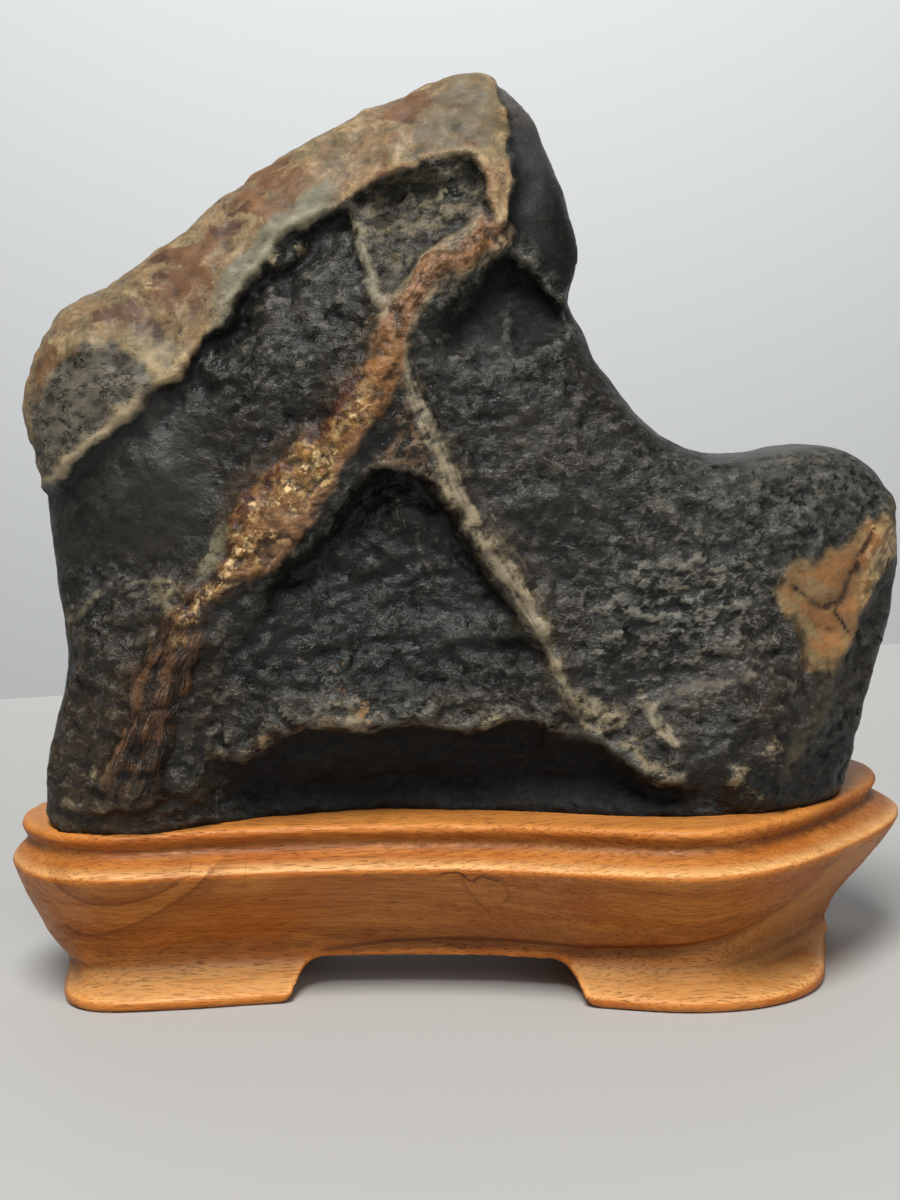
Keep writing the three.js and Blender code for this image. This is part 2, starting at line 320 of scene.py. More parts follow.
# where things lie on the front of the stone, as x and z in millimetres
stoneMarks = {
    "crust": [(-112, 116), (-96, 124), (-88, 129), (-81, 135), (-75, 139), (-69, 143), (-62, 149),
              (-54, 159), (-49, 164), (-45, 169), (-40, 174), (-36, 178), (-29, 183), (-23, 187),
              (-17, 190), (-10, 193), (-3, 195), (6, 196), (9, 192), (10, 184), (12, 179), (14, 184),
              (15, 193), (15, 203), (13, 212), (10, 222), (-40, 240), (-130, 220), (-130, 120)],
    "greyArea": [(-98, 141), (-91, 151), (-83, 155), (-76, 155), (-69, 150), (-67, 144), (-75, 141),
                 (-81, 137), (-88, 131), (-97, 126)],
    "beak": [(12, 220), (14, 211), (15, 203), (15, 193), (13, 185), (12, 180), (17, 177), (22, 173),
             (28, 166), (40, 170), (40, 200), (26, 222)],
    "smallPanel": [(-21, 186), (-15, 190), (-8, 193), (0, 194), (6, 194), (9, 188), (6, 182), (-1, 176),
                   (-7, 170), (-11, 166), (-14, 164), (-18, 174)],
    "cavity": [(-17, 186), (-10, 192), (-3, 193), (6, 195), (7, 189), (3, 186), (-3, 187), (-8, 184),
               (-14, 183)],
    "bandLeftEdge": [(8, 183), (3, 178), (-3, 175), (-8, 170), (-12, 165), (-16, 157), (-22, 147),
                     (-30, 136), (-37, 131), (-44, 125), (-49, 119), (-51, 113), (-52, 107), (-57, 102),
                     (-62, 97), (-68, 90), (-73, 82), (-77, 71), (-80, 61), (-83, 50)],
    "bandRightEdge": [(15, 178), (10, 173), (5, 170), (-4, 164), (-8, 157), (-10, 148), (-16, 137),
                      (-24, 127), (-31, 118), (-36, 111), (-44, 103), (-52, 98), (-57, 93), (-60, 86),
                      (-63, 77), (-66, 68), (-69, 60), (-72, 50)],
    "wedge": [(-51, 115), (-51, 108), (-55, 104), (-60, 102), (-58, 107), (-55, 112)],
    "vein": [(-22, 186), (-20, 180), (-18, 173), (-16, 166), (-14, 161), (-12, 154), (-10, 148), (-8, 142),
             (-5, 134), (-2, 126), (0, 120), (4, 113), (8, 106), (12, 100), (15, 94), (19, 87), (22, 80),
             (24, 74), (26, 68)],
    "veinSpur": [(8, 114), (11, 110), (14, 104), (17, 99), (20, 94), (22, 89), (20, 85), (17, 91),
                 (13, 98), (10, 104), (7, 109)],
    "triangle": [(-10, 140), (-14, 133), (-21, 124), (-29, 114), (-37, 106), (-48, 95), (-55, 82),
                 (-50, 76), (-37, 74), (-14, 73), (6, 73), (20, 76), (19, 84), (10, 99), (3, 111),
                 (-2, 121)],
    "veinHalfWidths": ([0, 0.15, 0.25, 0.33, 0.45, 0.56, 0.65, 0.75, 0.83, 0.87, 0.93, 1],
                       [0.7, 0.9, 1.0, 1.2, 1.6, 2.2, 2.8, 2.4, 1.5, 0.9, 1.2, 1.0]),
    "arch": [(-38, 104), (-33, 112), (-27, 119), (-22, 122.5), (-16, 124.5), (-10, 124.5), (-5, 121.5),
             (-1, 116), (4, 107), (10, 97)],
    "ledge": [(-66, 72), (-62, 67), (-57, 62), (-51, 61), (-46, 63), (-42, 66), (-34, 67), (-28, 67),
              (-21, 66), (-14, 67), (-5, 66), (2, 64), (9, 66), (18, 66), (25, 65), (31, 62.5), (36, 58),
              (42, 54), (49, 52), (56, 50.5), (62, 49)],
    "leftCrack": [(-97, 92), (-89, 94), (-83, 100), (-75, 101), (-66, 101), (-61, 97)],
    "leftCorner": [(-72, 101), (-66, 101), (-61, 97), (-62, 94), (-66, 93), (-69, 97)],
    "lobePatch": [(74, 94), (78, 100), (83, 101), (88, 103), (93, 105), (98, 109), (104, 107), (108, 104),
                  (103, 97), (97, 93), (93, 83), (88, 77), (82, 77), (80, 81), (79, 87), (76, 90)],
    "lobeCrack": [(78, 95), (83, 91), (87, 90), (90, 93), (93, 98), (98, 106), (103, 112)],
    "lobeCrackLow": [(93, 98), (90, 93), (88, 88), (91, 84)],
    "crest": [(104, 112), (98, 104), (95, 95), (92, 86), (88, 78), (84, 69), (79, 61), (74, 53)],
    "palePatch": [(24, 72), (28, 73), (33, 71), (38, 68), (36, 66), (31, 65), (27, 66)],
    "paleChip": [(37, 62), (39, 64), (42, 60.5), (47, 56.5), (50, 54), (45, 53), (41, 56.5), (38, 59)],
    "secondStreak": [(41, 72), (43, 69), (45, 66), (49, 61)],
    "paleLine": [(44, 70), (52, 73), (60, 74), (68, 76)],
    "scratch": [(-9, 112), (-8, 108), (-6, 103), (-4, 97)],
    "lowShelf": [(20, 61), (27, 63), (34, 62), (40, 58)],
    "backVeins": [[(34, 160), (20, 142), (10, 120), (-6, 98), (-30, 78), (-58, 60)],
                  [(8, 118), (26, 100), (40, 92), (62, 70)]],
    "recessTop": [(-9, 154), (-5, 159), (2, 165), (9, 171), (14, 175), (20, 170), (26, 164), (31, 158)],
}

# broad hollows and swells of the front: x, z, half-width along x and z, and depth, where - swells out
stoneForms = [
    (11, 94, 4, 2.6, 2.2), (14, 83, 8, 2.8, 2.4), (-88, 103, 9, 7, 2.4), (-72, 105, 10, 5, 1.8),
    (-78, 122, 16, 9, -2.2), (-42, 148, 18, 12, -1.2), (-58, 140, 9, 10, 1.8), (40, 100, 26, 26, -1.6),
    (70, 68, 22, 12, -2.0), (24, 100, 9, 16, 1.8), (48, 76, 16, 6, 1.8),
]

# small things that stand out: x, z, half-width and how far they rise, in millimetres
stoneKnobs = [
    (-33, 176, 1.9, 1.3), (-39, 173, 1.7, 1.1), (-83, 57, 3.2, 2.4), (-78, 61, 2.2, 1.5), (-90, 50, 3.6, 2.0),
    (-84, 50, 2.6, 1.6), (-74, 52, 3.0, 1.5), (61, 54, 2.6, 1.8), (59, 60, 1.8, 1.0), (70, 59, 2.4, 1.2),
    (68, 48, 2.6, 0.9), (-79, 119, 4.0, 1.2), (-66, 128, 3.0, 0.9), (36, 178, 2.0, 0.5), (-94, 59, 5.0, 1.4),
]

# pale spots of the same kind, without a knob: x, z, half-width and strength
stoneSpots = [
    (-24, 69.5, 5, 0.9), (-33, 68, 4, 0.6), (6, 67.5, 4, 0.8), (-46, 64, 3, 0.7), (-39, 64, 3, 0.6),
    (-58, 61, 3, 0.5), (62, 54, 3, 1.0), (71, 58.5, 4, 0.7), (-85, 58, 3.2, 0.9), (-92, 49.5, 3.2, 0.9),
    (-84, 50, 2.5, 0.6), (66, 48, 3, 0.5), (-33, 176, 2, 1.0), (-39, 173, 1.8, 0.9), (-91, 93, 3, 0.5),
    (52, 98, 4, 0.35),
]

# clouds of colour in the crust: x, z, half-width and strength
crustClouds = {
    "rustCloud": [(-38, 189, 8, 1.0), (-56, 177, 7, 0.8), (-61, 168, 7, 0.7), (-7, 208, 6, 0.8),
                  (-12, 198, 5, 0.5), (-92, 152, 6, 0.5)],
    "purpleCloud": [(-50, 184, 5, 1.0), (-65, 172, 4, 0.9), (-71, 160, 7, 0.9), (-60, 160, 4, 0.6),
                    (-78, 163, 4, 0.6)],
    "oliveCloud": [(7, 207, 9, 1.0), (-5, 203, 7, 0.6), (-25, 197, 8, 0.5), (-84, 160, 6, 0.4)],
    "yellowCloud": [(-68, 152, 6, 1.0), (-47, 176, 5, 0.5), (-80, 156, 4, 0.4)],
}


farAway = 30  # what a distance reads where its mark must not show


def marksOn(points, normals):  # every mark as a field over the stone's points, in millimetres
    x, y, z = points.T
    straightX, straightZ = x, z
    x = x + 1.5 * noiseAt(points, 9, 51, 3)  # every outline wanders a little
    z = z + 1.5 * noiseAt(points, 9, 52, 3)
    front = between(-0.1, 0.35, -normals[:, 1])
    behind = farAway * (1 - front)  # keeps the marks of the front off the back
    fields = {"front": front}

    wrap = 20 + 9 * noiseAt(points, (17, 17, 13), 53, 4)  # behind the rim the crust is only a strip
    crust = depthInside(stoneMarks["crust"], x, z)
    fields["crust"] = crust - wrap * between(0.1, 0.7, normals[:, 1])
    for name in ("greyArea", "beak", "smallPanel", "cavity", "triangle", "leftCorner", "lobePatch",
                 "palePatch", "paleChip", "wedge"):
        fields[name] = depthInside(stoneMarks[name], x, z) * front - behind

    leftGap, bandAlong, _ = nearestOn(curveThrough(stoneMarks["bandLeftEdge"]), x, z)
    rightGap, _, _ = nearestOn(curveThrough(stoneMarks["bandRightEdge"]), x, z)
    wholeBand = stoneMarks["bandLeftEdge"] + stoneMarks["bandRightEdge"][::-1]
    fields["band"] = depthInside(wholeBand, x, z) * front - behind
    fields["bandAlong"] = bandAlong
    fields["bandAcross"] = leftGap / np.maximum(leftGap + rightGap, 0.5)

    veinGap, veinAlong, veinSide = nearestOn(curveThrough(stoneMarks["vein"]), straightX, straightZ)
    veinHalf = np.interp(veinAlong, *stoneMarks["veinHalfWidths"])
    veinHalf = veinHalf * (1 + 0.7 * noiseAt(points, 6, 31, 3))
    spur = depthInside(stoneMarks["veinSpur"], x, z)
    fields["vein"] = np.maximum(veinHalf - veinGap, spur - 0.4) - behind
    fields["veinAlong"] = veinAlong
    fields["veinSide"] = veinSide * veinGap
    ledgeGap, ledgeAlong, ledgeSide = nearestOn(curveThrough(stoneMarks["ledge"]), x, z)
    ends = between(0.0, 0.08, ledgeAlong) * between(1.0, 0.86, ledgeAlong)
    fields["ledge"] = ledgeGap * ledgeSide  # + above the lip
    fields["ledgeEnds"] = ends * front
    for name in ("arch", "leftCrack", "lobeCrack", "lobeCrackLow", "crest", "secondStreak", "paleLine",
                 "scratch", "lowShelf"):
        lineGap, _, lineSide = nearestOn(curveThrough(stoneMarks[name]), x, z)
        fields[name] = lineGap + behind
        fields[name + "Side"] = lineSide * lineGap
    recessGap, recessAlong, recessSide = nearestOn(curveThrough(stoneMarks["recessTop"]), x, z)
    below = -recessGap * recessSide
    ends = between(0.0, 0.28, recessAlong) * between(1.0, 0.9, recessAlong)
    fade = hill(np.maximum(below - 4, 0), 13 + 5 * noiseAt(points, 12, 54, 3))
    fields["recess"] = between(-0.6, 3 + 3 * between(12, 4, x), below) * fade * ends * front
    scratched = hill(x - 52, 24) * hill(z - 92, 16) + 0.35 * hill(x + 20, 45) * hill(z - 72, 7)
    fields["scratched"] = np.clip(scratched, 0, 1) * front
    fields["spots"] = front * cloudsAt(x, z, stoneSpots)
    for name, clouds in crustClouds.items():
        fields[name] = cloudsAt(x, z, clouds)
    backGaps = [nearestOn(curveThrough(path), x, z)[0] for path in stoneMarks["backVeins"]]
    fields["backVein"] = np.minimum(*backGaps) + farAway * between(0.4, 0.0, normals[:, 1])
    brokenArch = fields["archSide"] + 2.4 * noiseAt(points, (6, 6, 4), 55, 3)
    apex = between(-1.0, 4.0, brokenArch) * between(100, 112, z)
    fields["apex"] = apex * between(-1, 2, fields["triangle"])
    fields["triangle"] = np.minimum(fields["triangle"], 6 - 14 * apex)
    return fields


def shapeStone(stone):
    mesh = stone.data
    points, normals = pointsOf(mesh), normalsOf(mesh)
    x, y, z = points.T
    detail = stoneDetail
    f = marksOn(points, normals)
    front = f["front"]
    facing = between(0.2, 0.75, np.abs(normals[:, 1]))  # the rounded rim is worn smooth
    clear = between(detail["stillBelow"], detail["freeAbove"], z)

    # broad forms of the front, carved inwards: hollows between the crust, the band and the vein
    edgeWave = 1.3 * noiseAt(points, 9, 15, 2)
    crustIn = between(-1.2, 1.0, f["crust"] + 0.8 * edgeWave)
    broken = between(-0.5, 0.4, noiseAt(points, (6, 6, 7), 61, 2))
    push = hill(f["crust"] + 4.0, 4.5) * (1 - crustIn) * (1.6 + 4.4 * hill(x + 42, 19) * broken)
    sunk = between(-1.2, 3.6, f["triangle"] + edgeWave)
    push += sunk * (1.8 + 5.6 * between(74, 122, z))
    underArch = between(0, 1.5, -f["archSide"]) * hill(f["archSide"] + 1.2, 6.0) * (f["arch"] < 18)
    push += 2.0 * underArch * sunk
    push += detail["recessDepth"] * f["recess"] * between(0.15, 0.6, -normals[:, 1])
    leftOfVein = between(0.4, -1.6, f["veinSide"]) * hill(f["veinSide"] + 1, 9) * (f["vein"] > -25)
    leftOfVein *= between(0.22, 0.16, f["veinAlong"]) * between(165, 172, z)
    push += 1.8 * leftOfVein * (1 - crustIn)
    for formX, formZ, halfX, halfZ, depth in stoneForms:
        push += depth * hill(x - formX, halfX) * hill(z - formZ, halfZ)
    push += 3.0 * between(1, 11, f["crestSide"]) * between(52, 64, z) * between(114, 104, z)

    # lip over the dark undercut
    under = between(0.8, -4.0, f["ledge"] + 0.6 * edgeWave) * f["ledgeEnds"] * between(-64, -48, x)
    under *= 1 - 0.9 * between(-1.5, 1.0, f["paleChip"])
    push += under * detail["undercutDepth"]
    push -= 2.0 * hill(f["lowShelf"], 2.4)
    push *= front * clear

    # the stone's own unevenness: soft swells, chipped bowls on the rough panels, level strata
    swell = 0.8 * noiseAt(points, (16, 16, 13), 1, 2)
    lumps = 0.5 * noiseAt(points, (7, 7, 5), 2, 3)
    scales = scalesAt(points, (8.5, 8.5, 5.5), 3)
    chips = chipsAt(points + 1.2 * lumps[:, None], (5.5, 5.5, 4.0), 46)
    strata = scalesAt(points, (24, 24, 5.2), 4)
    drift = np.stack([noiseAt(points, 8, 41, 2), noiseAt(points, 8, 42, 2), noiseAt(points, 8, 43, 2)], 1)
    bowls = np.minimum(cellsAt(points + 2.5 * drift, (6.5, 6.5, 4.0), 44), 0.9)
    leftPanel = between(-46, -62, x) * between(152, 142, z) * between(100, 112, z) * front
    smoothSide = np.maximum(between(0, 3, f["beak"]), 0.75 * leftPanel) * (1 - crustIn)
    patch = between(-2, 3, f["lobePatch"])
    roughness = (1 - 0.85 * smoothSide) * (1 - 0.85 * crustIn) * (1 - 0.85 * patch) * (0.2 + 0.8 * facing)
    rise = swell + roughness * (lumps + 0.6 * scales + 0.7 * (bowls - 0.4) + 0.7 * chips)
    slanted = scalesAt(np.stack([x + 0.35 * z, y, z - 0.35 * x], 1), (11, 11, 5), 5)
    rise += sunk * between(124, 112, z) * (0.5 * strata + 0.9 * slanted)
    rise += f["apex"] * (0.9 + 0.8 * chips)
    flat = chipsAt(points + 2.0 * lumps[:, None], (7.5, 7.5, 3.8), 47)
    rise += 1.1 * f["scratched"] * roughness * flat
    rise += 0.8 * strata * hill(z - 62, 16) * between(30, 44, x) * front

    # crust: a raised skin with soft lumps
    grey = between(-1, 2, f["greyArea"] + edgeWave)
    pillows = 0.5 - cellsAt(points + 1.6 * drift, (9, 9, 7), 45)
    crustLumps = 0.9 * noiseAt(points, (13, 13, 9), 6, 2) + 1.0 * pillows + 0.35 * noiseAt(points, 3.5, 7, 2)
    rise += crustIn * (detail["crustHeight"] + crustLumps - 1.0 * grey + 0.7 * grey * strata)

    # rusty band: a ridge with a broken top, two strands at its foot
    bandIn = between(-2.2, 2.4, f["band"] + 0.6 * edgeWave) * between(44, 52, z)
    crystals = 0.45 - cellsAt(points, 2.4, 8)
    lower = between(0.60, 0.72, f["bandAlong"])
    bandPlace = np.stack([f["bandAcross"] * 3.2, f["bandAlong"] * 9, 0.12 * z], 1)
    strands = noiseAt(bandPlace, 1.0, 9, 3)
    upper = between(0.2, 0.1, f["bandAlong"])
    bandLumps = 0.5 * crystals * (1 - lower) * (1 - upper) + strands * (1.2 * lower + 0.15 * upper)
    rise += bandIn * (detail["bandHeight"] + bandLumps)
    rise += 0.6 * hill(f["bandAcross"] - 0.5, 0.3) * upper * bandIn

    # pale vein: a low crest of thin strands
    crest = between(-2.0, 1.5, f["vein"]) * (1 - crustIn)
    veinPlace = np.stack([f["veinSide"] * 0.6, f["veinAlong"] * 6, 0 * x], 1)
    veinLumps = 0.2 * noiseAt(veinPlace, 1.0, 10, 3) + 0.3 * noiseAt(points, 3.5, 14, 2)
    rise += crest * (0.7 + veinLumps) * between(1.0, 0.92, f["veinAlong"])

    lip = hill(f["ledge"] - 2.0, 2.8) * f["ledgeEnds"]
    rise += lip * (0.6 + 1.3 * noiseAt(points, 6, 11, 2) + 1.2 * chips)

    # small panel and cavity below the peak
    panel = between(-0.8, 1.5, f["smallPanel"])
    rise -= detail["panelDepth"] * panel
    cavity = between(-1.2, 2.8, f["cavity"] + 1.2 * edgeWave)
    rise -= cavity * (detail["cavityDepth"] + 1.6 * scales - 0.8 * chips)

    # beak: a smooth facet with a crisp lower edge
    rise += 0.8 * between(-0.6, 1.0, f["beak"])

    # lobe: worn patch with thin cracks, and the crest between it and the side facet
    rise += patch * (0.3 + 0.2 * noiseAt(points, 9, 13, 2))
    rise -= 0.45 * hill(np.minimum(f["lobeCrack"], f["lobeCrackLow"]), 0.8) * patch
    rise += 1.2 * hill(f["crest"], 3.2) * between(52, 60, z)

    # cracks and knobs
    rise -= 0.6 * hill(f["leftCrackSide"] + 1.2, 1.3) * (f["leftCrack"] < 5) * front
    rise += 0.3 * hill(f["secondStreak"], 1.7) + 0.3 * hill(f["paleLine"], 1.5)
    rise += 0.7 * between(-1.5, 2.5, np.maximum(f["palePatch"], f["paleChip"]) + edgeWave)
    rise += 1.2 * hill(f["archSide"], 4.0) * chips * sunk
    for kx, kz, size, height in stoneKnobs:
        rise += height * hill(np.hypot(x - kx, z - kz), size) * front * between(46, 50, z)

    seated = detail["seatFill"] * between(50, 44, z)  # closes the gap round the seat
    points = points + normals * (rise * between(42.5, 47, z) + seated)[:, None]
    points[:, 1] += push
    setPoints(mesh, points)

    normals = normalsOf(mesh)
    storeField(mesh, "relief", reliefOf(mesh, points, normals, 3))
    storeField(mesh, "hollow", reliefOf(mesh, points, normals, 24))
    storeField(mesh, "under", under)
    storeField(mesh, "facing", facing)
    storeField(mesh, "smoothSide", smoothSide)
    storeField(mesh, "uneven", 0.45 + 0.55 * between(-0.28, 0.24, noiseAt(points, (22, 22, 14), 16, 2)))
    storeField(mesh, "lobeTopSheen", hill(x - 88, 34) * hill(z - 122, 27))
    for name in ("crust", "greyArea", "beak", "smallPanel", "cavity", "triangle", "leftCorner", "lobePatch",
                 "palePatch", "paleChip", "band", "bandAlong", "bandAcross", "vein", "veinAlong", "veinSide",
                 "leftCrack", "lobeCrack", "lobeCrackLow", "crest", "secondStreak", "paleLine", "spots",
                 "recess", "scratched", "wedge", "scratch", "lowShelf", "apex", "backVein", *crustClouds):
        storeField(mesh, name, f[name])
    mesh.shade_smooth()


# the stand

standDetail = {
    "voxel": 0.8,
    "rounding": 2,
    "relax": 1,
    "sharpFrom": 30,
    "crease": 0.9,
}

standMarks = {
    # x and z on the front face
    "knot": [(-1, 31.5), (4, 32.5), (8, 30), (9.5, 26), (7, 22.8), (4, 22), (2, 24.5), (0, 28)],
    "knotCrack": [(-6, 32.2), (-2, 32.6), (1, 30.2), (3, 31.8), (7, 30.5)],
    "sweep": [(-40, 9), (-30, 10.6), (-17, 12), (0, 12.6), (12, 12.3), (24, 11.8), (33, 12.1), (44, 13.1),
              (54, 14.5), (63, 16.2), (70, 18), (77, 20.8), (83, 25.5), (88, 31), (91, 36)],
    "crescents": [[(-59, 34.5), (-66, 28), (-75, 22), (-83, 18.5), (-91, 16.5), (-97, 19)],
                  [(-96, 32.5), (-91, 27.6), (-84, 26), (-74, 28.4), (-67, 32)]],
    # x and y on the tops of the toes
    "toeArcs": [[(-98, -14), (-84, -18.5), (-70, -20), (-58, -26)],
                [(-88, -16), (-80, -17.5), (-65, -17.8), (-50, -24)],
                [(34, -34), (40, -32.5), (53, -33.4), (67, -31.5), (76, -30)]],
}


def shapeStand(stand):
    mesh = stand.data
    points, normals = pointsOf(mesh), normalsOf(mesh)
    x, y, z = points.T
    free = between(0.6, 3.0, z)
    rise = 0.22 * noiseAt(points, (26, 12, 8), 21, 2) + 0.07 * noiseAt(points, (8, 4, 3), 22, 2)

    # tool marks on the ledge, strongest at the right end
    onLedge = hill(z - 35.5, 2.2) * between(0.2, 0.7, normals[:, 2])
    chatter = np.sin(x * 1.9 + 1.5 * noiseAt(points, 12, 23, 2)) * (0.02 + 0.05 * between(60, 95, x))
    rise += onLedge * chatter * between(-0.2, 0.3, noiseAt(points, 14, 24, 2))

    front = between(0.1, 0.5, -normals[:, 1])
    notHere = 20  # what the stand's distances read where their mark must not show
    behind = notHere * (1 - front)
    knot = depthInside(standMarks["knot"], x, z) * front - behind
    knotCrack, _, _ = nearestOn(curveThrough(standMarks["knotCrack"]), x, z)
    knotCrack += behind
    rise += 0.15 * between(-0.5, 1, knot) - 0.15 * hill(knotCrack, 0.8)

    # the face ends in a soft arris above the waist, which climbs to the right end
    sweepGap, sweepAlong, sweepSide = nearestOn(curveThrough(standMarks["sweep"]), x, z)
    sweep = sweepGap * sweepSide  # + above the line
    ends = between(0.0, 0.06, sweepAlong) * between(1.0, 0.9, sweepAlong) * front
    rise += ends * (0.7 * hill(sweep - 1.6, 2.4) - 0.9 * hill(sweep + 1.4, 1.8))
    crescents = [nearestOn(curveThrough(path), x, z) for path in standMarks["crescents"]]
    crescentGap = np.minimum(crescents[0][0], crescents[1][0]) + behind
    inside = np.where(crescents[0][0] < crescents[1][0], crescents[0][2] * crescents[0][0],
                      crescents[1][2] * crescents[1][0])
    onToe = between(0.3, 0.7, normals[:, 2]) * between(10, 8, z)
    toeGaps = [nearestOn(curveThrough(path), x, y)[0] for path in standMarks["toeArcs"]]
    toeGap = 0.35 + np.min(toeGaps, axis=0) + notHere * (1 - onToe)

    points = points + normals * (rise * free)[:, None]
    setPoints(mesh, points)
    storeField(mesh, "relief", reliefOf(mesh, points, normalsOf(mesh), 3))
    storeField(mesh, "hollow", reliefOf(mesh, points, normalsOf(mesh), 16))
    storeField(mesh, "upward", between(0.2, 0.8, normals[:, 2]) * between(36, 34, z))
    storeField(mesh, "rimTop", between(0.2, 0.8, normals[:, 2]) * between(37, 39, z))
    storeField(mesh, "knot", knot)
    storeField(mesh, "knotCrack", knotCrack)
    storeField(mesh, "sweep", np.where(ends > 0.02, sweep, farAway))
    storeField(mesh, "sweepEnds", ends)
    storeField(mesh, "growthLine", np.minimum(crescentGap, toeGap))
    storeField(mesh, "growthSide", np.where((crescentGap < 8) & (front > 0.5), inside, -8))
    mesh.shade_smooth()


# short helpers for shader nodes

def feed(tree, made, links):
    for key, value in links.items():
        socket = made.inputs[key]
        if isinstance(value, bpy.types.NodeSocket):
            tree.links.new(value, socket)
        elif socket.type == "RGBA":
            socket.default_value = (*value, 1)
        else:
            socket.default_value = value


def put(tree, kind, links=None, **settings):  # adds a node, sets it up and feeds its inputs
    made = tree.nodes.new(kind)
    for name, value in settings.items():
        setattr(made, name, value)
    feed(tree, made, links or {})
    return made


def putGroup(tree, group, links):
    made = tree.nodes.new("ShaderNodeGroup")
    made.node_tree = group
    feed(tree, made, links)
    return made.outputs


def field(tree, name):
    return put(tree, "ShaderNodeAttribute", attribute_name=name).outputs["Fac"]


def work(tree, operation, a, b=0.0):
    return put(tree, "ShaderNodeMath", {0: a, 1: b}, operation=operation).outputs[0]


def minus(tree, a, b):
    return work(tree, "SUBTRACT", a, b)


def opposite(tree, mask):  # 1 where the mask is 0, and 0 where it is 1
    return minus(tree, 1.0, mask)


def apart(tree, a, b):  # how far two values are apart
    return work(tree, "ABSOLUTE", minus(tree, a, b))


def vectorWork(tree, operation, a, b):
    return put(tree, "ShaderNodeVectorMath", {0: a, 1: b}, operation=operation).outputs[0]


def stretched(tree, place, factor):
    return put(tree, "ShaderNodeVectorMath", {0: place, 3: factor}, operation="SCALE").outputs[0]


def times(tree, *values):
    result = values[0]
    for value in values[1:]:
        result = work(tree, "MULTIPLY", result, value)
    return result


def plus(tree, *values):
    result = values[0]
    for value in values[1:]:
        result = work(tree, "ADD", result, value)
    return result


def ease(tree, value, low, high, start=0.0, end=1.0):
    links = {"Value": value, "From Min": low, "From Max": high, "To Min": start, "To Max": end}
    return put(tree, "ShaderNodeMapRange", links, interpolation_type="SMOOTHSTEP").outputs[0]


def mixColour(tree, mask, under, over, how="MIX"):
    made = put(tree, "ShaderNodeMix", {0: mask, 6: under, 7: over}, data_type="RGBA", blend_type=how)
    return made.outputs[2]


def scaled(tree, place, size):  # a place measured in pattern sizes, one size or one for each axis
    sizes = (size, size, size) if isinstance(size, (int, float)) else size
    return vectorWork(tree, "MULTIPLY", place, [1 / s for s in sizes])


def grain(tree, place, size, detail=2.0, rough=0.5, twist=0.0):  # soft random values, 0 to 1
    links = {"Vector": scaled(tree, place, size), "Scale": 1.0, "Detail": detail, "Roughness": rough,
             "Distortion": twist}
    return put(tree, "ShaderNodeTexNoise", links).outputs["Fac"]


def cells(tree, place, size):
    return put(tree, "ShaderNodeTexVoronoi", {"Vector": scaled(tree, place, size), "Scale": 1.0}).outputs


def shadeOf(tree, colour, channel):  # one random shade out of a cell's colour
    return put(tree, "ShaderNodeSeparateColor", {0: colour}).outputs[channel]


def warped(tree, place, size, reach):  # the same place, pushed about so that patterns swirl
    links = {"Vector": scaled(tree, place, size), "Scale": 1.0, "Detail": 1.0}
    random = put(tree, "ShaderNodeTexNoise", links).outputs["Color"]
    drift = stretched(tree, vectorWork(tree, "SUBTRACT", random, (0.5, 0.5, 0.5)), 2.0 * reach)
    return vectorWork(tree, "ADD", place, drift)


def streakPlace(tree, across, along):  # a place that runs with a mark: across it, then along it
    return put(tree, "ShaderNodeCombineXYZ", {0: across, 1: along}).outputs[0]


def placeInMm(tree):
    return stretched(tree, put(tree, "ShaderNodeTexCoord").outputs["Object"], 1 / mm)


def newGroup(name, inputs, outputs):
    tree = bpy.data.node_groups.new(name, "ShaderNodeTree")
    for label, kind in inputs:
        tree.interface.new_socket(label, in_out="INPUT", socket_type="NodeSocket" + kind)
    for label, kind in outputs:
        tree.interface.new_socket(label, in_out="OUTPUT", socket_type="NodeSocket" + kind)
    return tree, tree.nodes.new("NodeGroupInput").outputs, tree.nodes.new("NodeGroupOutput").inputs


def makeRaggedEdge():  # turns a distance into a mask whose edge wanders
    inputs = [("Place", "Vector"), ("Distance", "Float"), ("Size", "Float"), ("Ragged", "Float"),
              ("Soft", "Float")]
    tree, given, result = newGroup("raggedEdge", inputs, [("Mask", "Float")])
    where = stretched(tree, given["Place"], work(tree, "DIVIDE", 1.0, given["Size"]))
    random = put(tree, "ShaderNodeTexNoise", {"Vector": where, "Scale": 1.0, "Detail": 2.5}).outputs["Fac"]
    wander = times(tree, minus(tree, random, 0.5), 4.0, given["Ragged"])
    moved = plus(tree, given["Distance"], wander)
    low = times(tree, given["Soft"], -1.0)
    tree.links.new(ease(tree, moved, low, given["Soft"]), result["Mask"])
    return tree


def makeShadeAndShine():  # paints shade into hollows and a highlight onto high spots
    paintedShade, paintedShine = (0.004, 0.004, 0.004), (1.7, 1.65, 1.6)
    inputs = [("Colour", "Color"), ("Relief", "Float"), ("Reach", "Float"), ("HollowShade", "Float"),
              ("Shine", "Float")]
    tree, given, result = newGroup("paintedShadeAndShine", inputs, [("Colour", "Color")])
    share = work(tree, "DIVIDE", given["Relief"], given["Reach"])
    low = times(tree, ease(tree, share, 0.0, -1.0), given["HollowShade"])
    high = times(tree, ease(tree, share, 0.0, 1.0), given["Shine"])
    shaded = mixColour(tree, low, given["Colour"], paintedShade)
    bright = mixColour(tree, high, shaded, paintedShine, "MULTIPLY")
    tree.links.new(bright, result["Colour"])
    return tree


def makeFlecks():  # short scattered strokes: stone flecks and wood pores
    inputs = [("Place", "Vector"), ("Stroke", "Vector"), ("From", "Float"), ("To", "Float")]
    tree, given, result = newGroup("flecks", inputs, [("Mask", "Float")])
    where = vectorWork(tree, "DIVIDE", given["Place"], given["Stroke"])
    random = put(tree, "ShaderNodeTexNoise", {"Vector": where, "Scale": 1.0, "Detail": 2.0}).outputs["Fac"]
    tree.links.new(ease(tree, random, given["From"], given["To"]), result["Mask"])
    return tree


